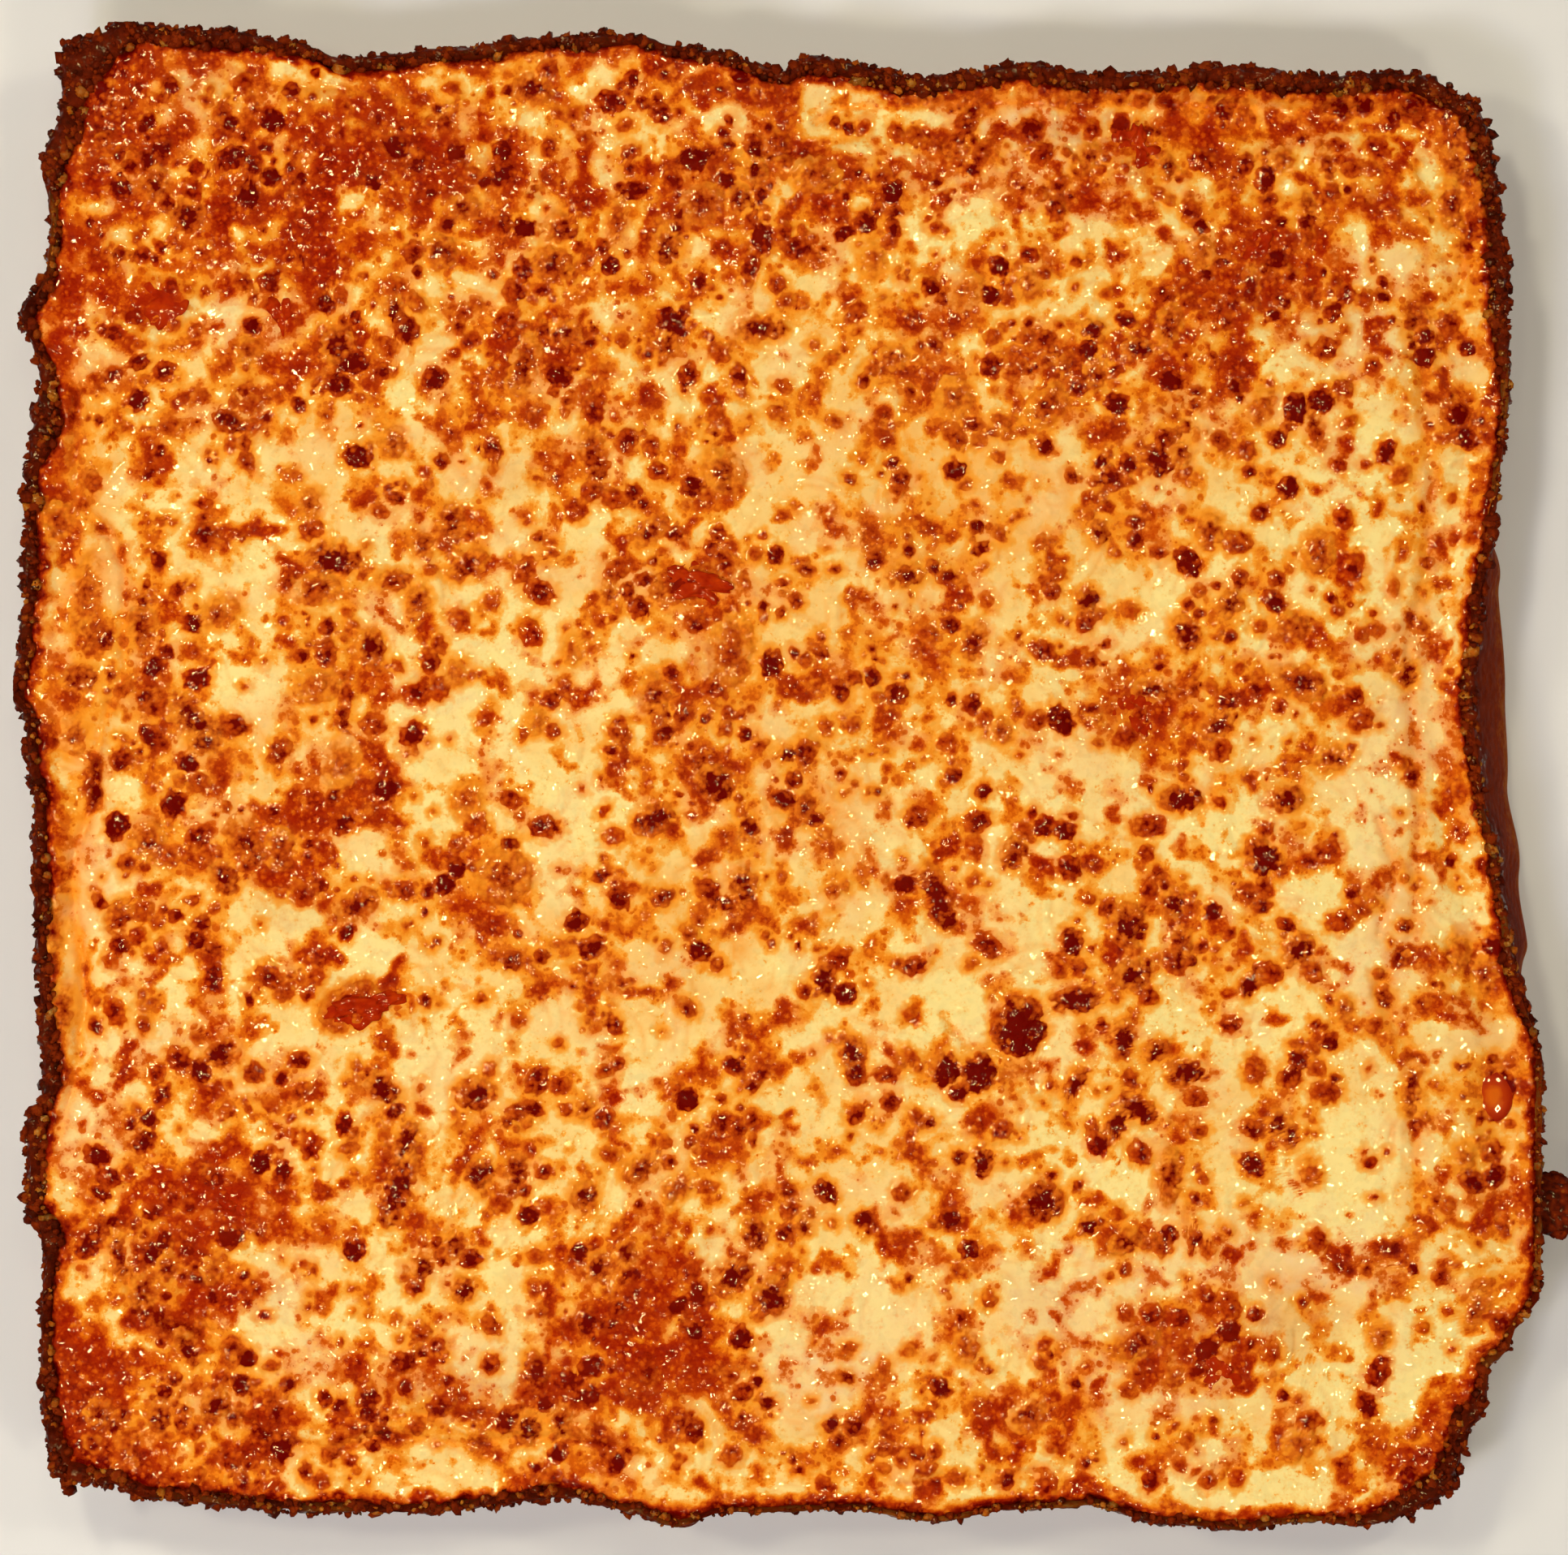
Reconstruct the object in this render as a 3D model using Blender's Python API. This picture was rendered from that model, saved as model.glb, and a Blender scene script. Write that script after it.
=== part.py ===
"""Square pan pizza, about 300 mm a side and 27 mm high, lying flat on its baked base.

Three pieces lie in each other as they are baked: a bread crust with a dark, crisp, ragged rim,
a layer of tomato sauce that comes up to the surface in small pools, and a blanket of browned,
blistered cheese. Metres, +Z up, origin at the middle of the base. Sizes below are in millimetres.
"""

import math
import random

import bmesh
import bpy
from mathutils import Matrix, Vector, noise

MM = 0.001
SEED = 12

# The pan's four corners, and the steps along each side between them.
TOP_LEFT = (-145.8, 142.9)
TOP_RIGHT = (135.4, 134.1)
BOTTOM_RIGHT = (130.7, -143.2)
BOTTOM_LEFT = (-147.4, -139.8)
SIDE_STEPS = 44
HALF_WIDTH = 147.0
CORNER_PULL = 1.0

# Heights above the table.
FLOOR = 16.5
SAUCE_TOP = 18.2
CHEESE_UNDERSIDE = 18.5
CHEESE_TOP = 23.4
RIM_CREST = 24.6
GAP = 0.35

# Along each side as (share of the side, millimetres), clockwise from the top left corner:
# how far the rim swells out of the straight line between the corners.
SWELL = {
    "top": (
        (0, 0), (0.05, 6.0), (0.075, 5.4), (0.12, 5.0), (0.16, 3.4), (0.2, 0.4), (0.27, 2.6),
        (0.35, 5.8), (0.40, 6.4), (0.46, 4.2), (0.51, 0.9), (0.53, 3.7), (0.61, 0.2), (0.68, 3.4),
        (0.73, 1.8), (0.82, 4.0), (0.90, 3.2), (0.95, 3.9), (1, 0),
    ),
    "right": (
        (0, 0), (0.03, 2.0), (0.08, 4.6), (0.13, 5.8), (0.21, 6.4), (0.31, 4.3), (0.36, 1.8),
        (0.43, 0.4), (0.49, 2.4), (0.55, 6.0), (0.61, 9.0), (0.64, 11.7), (0.69, 15.2), (0.85, 15.8),
        (0.89, 10.2), (0.91, 5.8), (0.935, 5.4), (0.955, 1.8), (1, 0),
    ),
    "bottom": (
        (0, 0), (0.07, 5.3), (0.10, 4.6), (0.16, 6.5), (0.21, 5.5), (0.26, 2.2), (0.31, 3.0),
        (0.37, 5.6), (0.43, 3.4), (0.52, 4.4), (0.555, 7.4), (0.585, 4.8), (0.63, 2.1), (0.74, 5.2),
        (0.81, 5.3), (0.93, 3.1), (0.96, 0.4), (1, 0),
    ),
    "left": (
        (0, 0), (0.06, 1.5), (0.12, 1.9), (0.165, 1.0), (0.19, 4.7), (0.25, 5.1), (0.275, 1.5),
        (0.39, 3.3), (0.455, 3.6), (0.53, 5.3), (0.555, 8.8), (0.58, 6.6), (0.64, 5.5), (0.69, 6.0),
        (0.78, 3.3), (0.815, 7.0), (0.85, 1.8), (0.88, 1.0), (0.93, 2.4), (0.955, -0.6), (1, 0),
    ),
}
# How wide the dark rim is, from its outer edge to the cheese.
RIM_WIDTH = {
    "top": ((0, 8), (0.05, 5.5), (0.15, 4), (0.3, 3), (0.45, 3.2), (0.55, 5.4), (0.75, 5), (0.85, 6), (1, 5.5)),
    "right": (
        (0, 5.5), (0.08, 5), (0.15, 6.5), (0.2, 2.5), (0.27, 2.2), (0.33, 3.6), (0.44, 4.2), (0.56, 3),
        (0.6, 2.6), (0.635, 6), (0.67, 1.9), (0.86, 1.7), (0.92, 4), (0.95, 7), (1, 8),
    ),
    "bottom": ((0, 8), (0.05, 4), (0.1, 2), (0.2, 2.8), (0.3, 1.7), (0.5, 1.6), (0.6, 3.2), (0.66, 4.6),
               (0.72, 3), (0.85, 3), (0.95, 3.5), (1, 5)),
    "left": ((0, 5), (0.1, 3), (0.18, 4.6), (0.25, 5.6), (0.3, 4), (0.4, 3), (0.6, 2.6), (0.7, 3), (0.745, 6),
             (0.78, 4), (0.82, 3.2), (0.86, 1.8), (0.89, 1.9), (0.93, 5), (1, 8)),
}
# How far the base lies inside the rim. Below zero, the base spreads out past it.
BASE_INSET = {
    "top": ((0, 4), (0.5, 3.5), (1, 4)),
    "right": ((0, 4), (0.24, 3), (0.3, -1), (0.35, -7), (0.43, -10.6), (0.5, -9), (0.6, -6.8), (0.645, -2), (0.7, 4), (1, 4.5)),
    "bottom": ((0, 4.5), (0.5, 3), (1, 4)),
    "left": ((0, 4), (0.5, 4.5), (1, 4)),
}
# How deep the cheese sinks between its puffed middle and the rim.
GUTTER_DEPTH = {
    "top": ((0, 0.4), (0.5, 0.6), (0.56, 1.7), (0.9, 1.8), (1, 1.4)),
    "right": ((0, 1.4), (0.15, 1.2), (0.3, 1.8), (0.7, 2.0), (0.9, 0.8), (1, 0.6)),
    "bottom": ((0, 0.5), (0.3, 0.3), (0.6, 1.0), (0.8, 1.6), (1, 0.6)),
    "left": ((0, 0.8), (0.2, 1.2), (0.3, 2.4), (0.74, 2.6), (0.84, 1.0), (1, 0.4)),
}
GUTTER_CENTRE = 6.5
GUTTER_REACH = 5.5

# The largest blisters: x, y, half width, half length, turn in degrees.
BIG_BLISTERS = (
    (-119.7, 110.4, 3.4, 3.4, 0), (-90.1, 84.8, 3.6, 3.6, 0), (-63.7, 111.2, 4.0, 4.6, 0),
    (-47.7, 101.6, 3.3, 3.3, 0), (-25.3, 104.8, 2.8, 3.2, 20), (-18.1, 112.8, 3.0, 4.8, 25),
    (-6.9, 88.0, 2.8, 5.4, -85), (-52.5, 80.8, 3.0, 6.4, -15), (-91.7, 42.7, 3.2, 5.6, -85),
    (-68.5, 42.4, 3.5, 3.5, 0), (-40.5, 65.6, 2.8, 5.4, 15), (-14.9, 60.8, 4.4, 4.6, 0),
    (48.3, 72.8, 3.8, 4.4, 0), (102.7, 44.0, 4.1, 4.3, 0), (77.1, 28.0, 3.4, 3.6, 0),
    (99.5, 19.2, 3.1, 5.0, 80), (-117.3, 10.4, 2.8, 5.6, 20), (-18.9, -3.2, 3.3, 3.3, 0),
    (-57.3, -20.0, 4.9, 4.9, 0), (92.3, -16.5, 3.6, 3.6, 0), (29.1, -25.6, 3.0, 6.0, 15),
    (66.7, -29.6, 4.2, 4.2, 0), (44.3, -49.1, 5.2, 5.4, 0), (29.6, -58.6, 2.9, 3.4, 0),
    (37.2, -58.9, 3.5, 3.6, 0), (76.3, -58.4, 2.9, 3.8, 60), (-128.5, -13.6, 3.6, 3.6, 0),
    (-102.1, -12.8, 3.3, 4.2, 0), (-62.1, -62.4, 3.8, 3.8, 0), (-79.7, -82.4, 3.2, 7.0, 20),
    (-41.3, -82.4, 3.6, 3.6, 0), (-12.5, -98.4, 3.4, 3.8, 0), (-3.7, -103.2, 3.4, 3.4, 0),
    (49.1, -84.0, 4.3, 4.3, 0), (121.9, -61.6, 2.4, 5.4, 5), (73.9, -111.2, 2.4, 4.2, -75),
)
SMALL_BLISTERS = 40
SMALL_BLISTER_SPAN = (1.9, 2.7)
BLISTER_RISE = 0.42

# Pools where sauce comes up through the cheese: x, y, half width, half length, turn in degrees.
SAUCE_POOLS = (
    (-123.7, 93.6, 4.0, 5.2, -50), (-101.3, 91.2, 3.0, 4.6, 20), (67.5, 122.4, 3.8, 5.6, 10),
    (91.5, 103.6, 3.2, 4.6, -35), (-19.2, 37.6, 3.2, 6.0, 75), (66.2, 12.2, 4.4, 5.4, 20),
    (-85.3, -45.6, 2.8, 6.2, -80), (-110.9, -84.2, 2.6, 3.2, 40), (84.3, -117.6, 4.4, 5.0, 0),
)
POOL_SINK = 0.5
POOL_SIDES = 12

# Crisp crumbs of burnt cheese on the rim, and the curled scrap that juts out on the right.
RIM_CRUMBS = 46
CRUMB_SPAN = (1.1, 2.3)
SCRAP_CENTRE = (150.0, -85.6, 17.2)
SCRAP_HALF_SIZE = (7.4, 6.4, 1.5)
SCRAP_TILT = (-8.0, -16.0, -20.0)
SCRAP_RAGGED = 0.28

SIDES = (
    ("top", TOP_LEFT, TOP_RIGHT, (0.0, 1.0)),
    ("right", TOP_RIGHT, BOTTOM_RIGHT, (1.0, 0.0)),
    ("bottom", BOTTOM_RIGHT, BOTTOM_LEFT, (0.0, -1.0)),
    ("left", BOTTOM_LEFT, TOP_LEFT, (-1.0, 0.0)),
)

MATERIALS = {
    "crust": ((0.24, 0.075, 0.022, 1.0), 0.55),
    "sauce": ((0.50, 0.045, 0.012, 1.0), 0.30),
    "cheese": ((0.86, 0.44, 0.10, 1.0), 0.35),
}


def clear_scene():
    """Start from an empty scene."""
    for thing in list(bpy.data.objects):
        bpy.data.objects.remove(thing, do_unlink=True)


def make_collection(name):
    """A collection linked to the scene."""
    group = bpy.data.collections.new(name)
    bpy.context.scene.collection.children.link(group)
    return group


def make_material(name):
    """The plain finish of one sub-part."""
    colour, roughness = MATERIALS[name]
    material = bpy.data.materials.new(name)
    material.use_nodes = True
    shader = material.node_tree.nodes["Principled BSDF"]
    shader.inputs["Base Color"].default_value = colour
    shader.inputs["Roughness"].default_value = roughness
    shader.inputs["Metallic"].default_value = 0.0
    material.diffuse_color = colour
    return material


def along(pairs, share):
    """The value at a share of a side, eased between the stated points."""
    for (low, before), (high, after) in zip(pairs, pairs[1:]):
        if share <= high:
            step = (share - low) / (high - low)
            eased = step * step * (3 - 2 * step)
            return before + (after - before) * eased
    return pairs[-1][1]


def wobble(x, y, size, salt=0.0):
    """Smooth noise of about -1 to 1 with bumps of the given size in millimetres."""
    return noise.noise(Vector((x / size, y / size, salt)))


class EdgePoint:
    """One of the points round the pizza, with what the side says there."""

    def __init__(self, side, share):
        name, start, end, outward = SIDES[side]
        swell = along(SWELL[name], share)
        self.x = start[0] + (end[0] - start[0]) * share + outward[0] * swell
        self.y = start[1] + (end[1] - start[1]) * share + outward[1] * swell
        if share == 0.0:
            self.x -= math.copysign(CORNER_PULL, self.x)
            self.y -= math.copysign(CORNER_PULL, self.y)
        self.rim_width = along(RIM_WIDTH[name], share)
        self.base_inset = along(BASE_INSET[name], share)
        self.gutter = along(GUTTER_DEPTH[name], share)
        self.crest = RIM_CREST + 1.7 * wobble(self.x, self.y, 26.0, 3.0)
        self.crag = 0.8 * wobble(self.x, self.y, 7.0, 9.0)

    def inset(self, distance, height):
        """This point moved towards the middle, at a height, in metres."""
        scale = 1.0 - distance / HALF_WIDTH
        return Vector((self.x * scale, self.y * scale, height)) * MM


def edge_points():
    """The points round the pizza, clockwise from the top left corner."""
    return [EdgePoint(side, step / SIDE_STEPS) for side in range(4) for step in range(SIDE_STEPS)]


def ring_object(name, rings, group):
    """A closed solid through rings of points, bottom ring first, closed by a flat face at each end."""
    mesh = bmesh.new()
    loop = [mesh.verts.new(point) for point in rings[0]]
    edges = [mesh.edges.new((a, b)) for a, b in zip(loop, loop[1:] + loop[:1])]
    for ring in rings[1:]:
        grown = bmesh.ops.extrude_edge_only(mesh, edges=edges)["geom"]
        new_verts = {edge_mate(v, grown): v for v in grown if isinstance(v, bmesh.types.BMVert)}
        loop = [new_verts[v] for v in loop]
        for vert, point in zip(loop, ring):
            vert.co = point
        edges = [mesh.edges.get((a, b)) for a, b in zip(loop, loop[1:] + loop[:1])]
    bmesh.ops.holes_fill(mesh, edges=mesh.edges, sides=0)
    return finish_mesh(name, mesh, group)


def edge_mate(vert, grown):
    """The point that a newly extruded point was pulled from."""
    fresh = set(grown)
    return next(e.other_vert(vert) for e in vert.link_edges if e.other_vert(vert) not in fresh)


def finish_mesh(name, mesh, group):
    """Triangulate a built mesh, turn its faces out and put it in the scene."""
    bmesh.ops.triangulate(mesh, faces=mesh.faces)
    bmesh.ops.recalc_face_normals(mesh, faces=mesh.faces)
    data = bpy.data.meshes.new(name)
    mesh.to_mesh(data)
    mesh.free()
    thing = bpy.data.objects.new(name, data)
    group.objects.link(thing)
    return thing


def boolean(thing, cutters, operation):
    """Join a collection to an object, or cut it away, and remove the collection's objects."""
    modifier = thing.modifiers.new(operation.lower(), "BOOLEAN")
    modifier.operation = operation
    modifier.operand_type = "COLLECTION"
    modifier.collection = cutters
    modifier.solver = "EXACT"
    bpy.context.view_layer.objects.active = thing
    with bpy.context.temp_override(object=thing, active_object=thing):
        bpy.ops.object.modifier_apply(modifier=modifier.name)
    for cutter in list(cutters.objects):
        bpy.data.objects.remove(cutter, do_unlink=True)
    bpy.data.collections.remove(cutters)


def lump(name, centre, half_size, turn, group, rings=None, ragged=0.0):
    """A rough pebble: an icosahedron, or a finer sphere where rings is given, with a ragged outline."""
    mesh = bmesh.new()
    if rings is None:
        bmesh.ops.create_icosphere(mesh, subdivisions=1, radius=1.0)
    else:
        bmesh.ops.create_uvsphere(mesh, u_segments=2 * rings, v_segments=rings, radius=1.0)
    for vert in mesh.verts:
        vert.co *= 1.0 + ragged * wobble(vert.co.x, vert.co.y, 0.55, vert.co.z)
    size = Matrix.Diagonal((*(value * MM for value in half_size), 1.0))
    place = Matrix.Translation(Vector(centre) * MM)
    bmesh.ops.transform(mesh, matrix=place @ turn.to_4x4() @ size, verts=mesh.verts)
    return finish_mesh(name, mesh, group)


def turned(degrees):
    """A turn about the vertical."""
    return Matrix.Rotation(math.radians(degrees), 3, "Z")


def rim_rings(points):
    """The crust's section from the foot of the base, over the rim and down to the floor inside."""
    foot, belly = 2.4, 10.0
    return (
        [p.inset(p.base_inset + 1.8, 0.0) for p in points],
        [p.inset(p.base_inset, foot) for p in points],
        [p.inset(0.62 * p.base_inset + 0.4, belly) for p in points],
        [p.inset(0.14 * p.base_inset + 0.9 + p.crag, p.crest - 6.0) for p in points],
        [p.inset(-p.crag, p.crest - 1.6) for p in points],
        [p.inset(0.35 * p.rim_width, p.crest) for p in points],
        [p.inset(p.rim_width, p.crest - 1.0) for p in points],
        [p.inset(p.rim_width + 1.5, FLOOR) for p in points],
    )


def make_crust(points, group, rng):
    """The bread base with its raised dark rim, rim crumbs and the scrap on the right."""
    crust = ring_object("crust", rim_rings(points), group)
    crumbs = make_collection("crust_crumbs")
    for index in range(RIM_CRUMBS):
        point = rng.choice(points)
        span = min(rng.uniform(*CRUMB_SPAN), point.rim_width - 0.5)
        height = point.crest - rng.uniform(1.2, 5.0)
        seat = point.inset(0.7, height) / MM
        lump(f"crumb_{index}", seat, (span, span, 0.8 * span), turned(rng.uniform(0, 90)), crumbs)
    tilt = [math.radians(angle) for angle in SCRAP_TILT]
    scrap_turn = Matrix.Rotation(tilt[2], 3, "Z") @ Matrix.Rotation(tilt[1], 3, "Y") @ Matrix.Rotation(tilt[0], 3, "X")
    lump("scrap", SCRAP_CENTRE, SCRAP_HALF_SIZE, scrap_turn, crumbs, 8, SCRAP_RAGGED)
    boolean(crust, crumbs, "UNION")
    return crust


def cheese_height(x, y):
    """The puffed top of the cheese, away from its edge."""
    return CHEESE_TOP + 1.5 * wobble(x, y, 52.0, 1.0) + 0.8 * wobble(x, y, 19.0, 5.0)


def cheese_point(point, share):
    """A point of the cheese's top, share of the way from the middle to its edge."""
    edge = point.inset(point.rim_width + 0.45, 0.0) / MM
    x, y = edge.x * share, edge.y * share
    inward = (1.0 - share) * HALF_WIDTH
    puffed = cheese_height(x, y)
    dip = point.gutter * math.exp(-(((inward - GUTTER_CENTRE) / GUTTER_REACH) ** 2))
    climb = max(0.0, 1.0 - inward / (0.7 * GUTTER_CENTRE))
    height = (puffed - dip) * (1.0 - climb) + (point.crest - 1.3) * climb
    return Vector((x, y, height)) * MM


def make_cheese(points, group, rng):
    """The cheese blanket: a grid bent to the outline, with pools cut out and blisters fused on."""
    half = SIDE_STEPS // 2
    mesh = bmesh.new()
    bmesh.ops.create_grid(mesh, x_segments=SIDE_STEPS, y_segments=SIDE_STEPS, size=half)
    for vert in mesh.verts:
        column, row = round(vert.co.x), round(vert.co.y)
        ring = max(abs(column), abs(row))
        if ring:
            side, share = place_on_square(column / ring, row / ring)
            vert.co = cheese_point(EdgePoint(side, share), (ring / half) ** 0.8)
        else:
            vert.co = Vector((0.0, 0.0, cheese_height(0.0, 0.0))) * MM
    border = [edge for edge in mesh.edges if edge.is_boundary]
    skirt = bmesh.ops.extrude_edge_only(mesh, edges=border)["geom"]
    foot_scale = 1.0 - 1.2 / HALF_WIDTH
    for vert in (v for v in skirt if isinstance(v, bmesh.types.BMVert)):
        vert.co = Vector((vert.co.x * foot_scale, vert.co.y * foot_scale, CHEESE_UNDERSIDE * MM))
    bmesh.ops.holes_fill(mesh, edges=mesh.edges, sides=0)
    cheese = finish_mesh("cheese", mesh, group)
    boolean(cheese, pool_prisms("pool_cutters", GAP, CHEESE_UNDERSIDE - 4.0, RIM_CREST + 8.0), "DIFFERENCE")
    boolean(cheese, blister_domes(rng), "UNION")
    return cheese


def place_on_square(u, v):
    """The side and the share of it for a point on the edge of the square from -1 to 1."""
    if v >= 1.0 and u < 1.0:
        return 0, (u + 1) / 2
    if u >= 1.0 and v > -1.0:
        return 1, (1 - v) / 2
    if v <= -1.0 and u > -1.0:
        return 2, (1 - u) / 2
    return 3, (v + 1) / 2


def pool_prisms(name, margin, low, high):
    """Upright oval prisms at the sauce pools, wider all round by a margin."""
    group = make_collection(name)
    for index, (x, y, half_width, half_length, turn) in enumerate(SAUCE_POOLS):
        mesh = bmesh.new()
        bmesh.ops.create_cone(mesh, cap_ends=True, segments=POOL_SIDES, radius1=1.0, radius2=1.0, depth=1.0)
        size = Matrix.Diagonal(((half_width + margin) * MM, (half_length + margin) * MM, (high - low) * MM, 1.0))
        place = Matrix.Translation(Vector((x, y, (low + high) / 2)) * MM)
        bmesh.ops.transform(mesh, matrix=place @ turned(turn).to_4x4() @ size, verts=mesh.verts)
        finish_mesh(f"{name}_{index}", mesh, group)
    return group


def blister_sites(rng):
    """The large blisters, then smaller ones spread by trial so that none touches another or a pool."""
    sites = list(BIG_BLISTERS)
    keep_off = [(x, y, half_length + 1.0) for x, y, _, half_length, _ in BIG_BLISTERS + SAUCE_POOLS]
    while len(sites) < len(BIG_BLISTERS) + SMALL_BLISTERS:
        span = rng.uniform(*SMALL_BLISTER_SPAN)
        x, y = rng.uniform(-118, 112), rng.uniform(-118, 116)
        if all(math.hypot(x - a, y - b) > reach + span + 1.5 for a, b, reach in keep_off):
            sites.append((x, y, span, span * rng.uniform(1.0, 1.3), rng.uniform(0, 180)))
            keep_off.append((x, y, span * 1.3))
    return sites


def blister_domes(rng):
    """Domes to fuse to the cheese, half sunk in it."""
    group = make_collection("blister_domes")
    for index, (x, y, half_width, half_length, turn) in enumerate(blister_sites(rng)):
        rise = BLISTER_RISE * half_width + 0.5
        centre = (x, y, cheese_height(x, y) - 0.25)
        rings = 4 if index < len(BIG_BLISTERS) else None
        lump(f"blister_{index}", centre, (half_width, half_length, rise), turned(turn), group, rings)
    return group


def make_sauce(points, group):
    """The thin layer of sauce, with the pools that stand up through the cheese."""
    rim_gap = 1.5 + 6 * GAP
    coarse = points[::2]
    lower = [p.inset(p.rim_width + rim_gap, FLOOR + GAP) for p in coarse]
    upper = [p.inset(p.rim_width + rim_gap, SAUCE_TOP) for p in coarse]
    sauce = ring_object("sauce", (lower, upper), group)
    pools = make_collection("pools")
    for index, pool in enumerate(SAUCE_POOLS):
        x, y, half_width, half_length, turn = pool
        top = cheese_height(x, y) - POOL_SINK
        mesh = bmesh.new()
        bmesh.ops.create_cone(mesh, cap_ends=True, segments=POOL_SIDES, radius1=1.0, radius2=1.0, depth=1.0)
        low = FLOOR + 3 * GAP
        size = Matrix.Diagonal((half_width * MM, half_length * MM, (top - low) * MM, 1.0))
        place = Matrix.Translation(Vector((x, y, (low + top) / 2)) * MM)
        bmesh.ops.transform(mesh, matrix=place @ turned(turn).to_4x4() @ size, verts=mesh.verts)
        finish_mesh(f"pool_{index}", mesh, pools)
    boolean(sauce, pools, "UNION")
    return sauce


def centre(parts):
    """Slide the finished pieces so that the middle of the whole stands over the origin."""
    corners = [Vector(corner) for part in parts for corner in part.bound_box]
    middle = Matrix.Translation(Vector((
        -(min(c.x for c in corners) + max(c.x for c in corners)) / 2,
        -(min(c.y for c in corners) + max(c.y for c in corners)) / 2,
        0.0,
    )))
    for part in parts:
        part.data.transform(middle)
        part.data.update()
    print("centred by", [round(value / MM, 3) for value in middle.translation])


def main():
    """Build the crust, the sauce and the cheese."""
    clear_scene()
    rng = random.Random(SEED)
    pizza = make_collection("pan_pizza")
    points = edge_points()
    parts = (make_crust(points, pizza, rng), make_sauce(points, pizza), make_cheese(points, pizza, rng))
    centre(parts)
    for part in parts:
        part.data.materials.clear()
        part.data.materials.append(make_material(part.name))


main()
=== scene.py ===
"""Looks of a square pan pizza: browned, blistered cheese, pools of sauce and a dark crisp rim."""

import logging
import math
from dataclasses import dataclass, field
from enum import Enum

import bpy
import numpy as np
from mathutils import Matrix, Vector, noise


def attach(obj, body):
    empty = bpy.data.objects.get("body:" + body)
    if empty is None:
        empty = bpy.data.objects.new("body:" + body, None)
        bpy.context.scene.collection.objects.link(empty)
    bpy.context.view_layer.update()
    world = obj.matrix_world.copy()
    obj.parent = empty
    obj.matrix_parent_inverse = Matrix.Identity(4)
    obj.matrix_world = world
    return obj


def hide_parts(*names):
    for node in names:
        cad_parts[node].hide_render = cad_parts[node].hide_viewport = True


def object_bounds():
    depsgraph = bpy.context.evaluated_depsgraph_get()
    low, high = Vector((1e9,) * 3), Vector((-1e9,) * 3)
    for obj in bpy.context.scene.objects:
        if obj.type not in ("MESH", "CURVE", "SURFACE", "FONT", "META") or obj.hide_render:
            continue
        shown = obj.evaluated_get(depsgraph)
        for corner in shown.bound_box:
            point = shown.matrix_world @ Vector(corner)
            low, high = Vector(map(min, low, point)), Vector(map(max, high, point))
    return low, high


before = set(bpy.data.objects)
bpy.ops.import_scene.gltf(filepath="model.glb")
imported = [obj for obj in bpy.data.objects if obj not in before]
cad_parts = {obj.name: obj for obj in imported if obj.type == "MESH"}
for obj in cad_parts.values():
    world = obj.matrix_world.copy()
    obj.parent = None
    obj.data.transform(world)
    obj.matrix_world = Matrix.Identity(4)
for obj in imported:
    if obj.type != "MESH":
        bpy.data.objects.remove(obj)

CAD_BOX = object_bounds()

MM = 0.001
# Millimetres in one step of the landmark chart, the chart's middle in steps, and the shift of the solids.
STEP = 0.16
CHART_MIDDLE = (980.0, 954.0)
CHART_SHIFT = (-1.131, 0.447)
BED_HEIGHT = 24.0
# How far inside the faces of the solids' box the pieces stay, in millimetres.
CLEARANCE = 0.03
# The ripple noise: how many slopes it picks from, a power of two, and what spreads the corners over them.
SLOPES = 4096
SPREAD = (1619, 31337)

Pairs = tuple[tuple[float, float], ...]
Layers = tuple[tuple[float, float, int], ...]
Socket = bpy.types.NodeSocket

logging.basicConfig(level=logging.INFO, format="%(message)s")
LOG = logging.getLogger("pizza")


def chart(column: float, row: float) -> tuple[float, float]:
    """Turn a place on the landmark chart into millimetres.

    Args:
        column: Steps of 0.16 mm from the chart's left edge.
        row: Steps of 0.16 mm down from the chart's top edge.

    Returns:
        The place as x and y in millimetres.
    """
    return (
        (column - CHART_MIDDLE[0]) * STEP + CHART_SHIFT[0],
        (CHART_MIDDLE[1] - row) * STEP + CHART_SHIFT[1],
    )


def ease(value: np.ndarray | float, low: float, high: float) -> np.ndarray | float:
    """A smooth step from 0 at low to 1 at high."""
    share = np.clip((value - low) / (high - low), 0.0, 1.0)
    return share * share * (3.0 - 2.0 * share)


def bell(value: np.ndarray, middle: float, width: float) -> np.ndarray:
    """A rounded peak of height 1 at the middle."""
    return np.exp(-(((value - middle) / width) ** 2))


def turned(x: float | np.ndarray, y: float | np.ndarray, degrees: float) -> tuple:
    """Turn places about the origin by an angle in degrees."""
    cosine, sine = math.cos(math.radians(degrees)), math.sin(math.radians(degrees))
    return x * cosine - y * sine, x * sine + y * cosine


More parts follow.
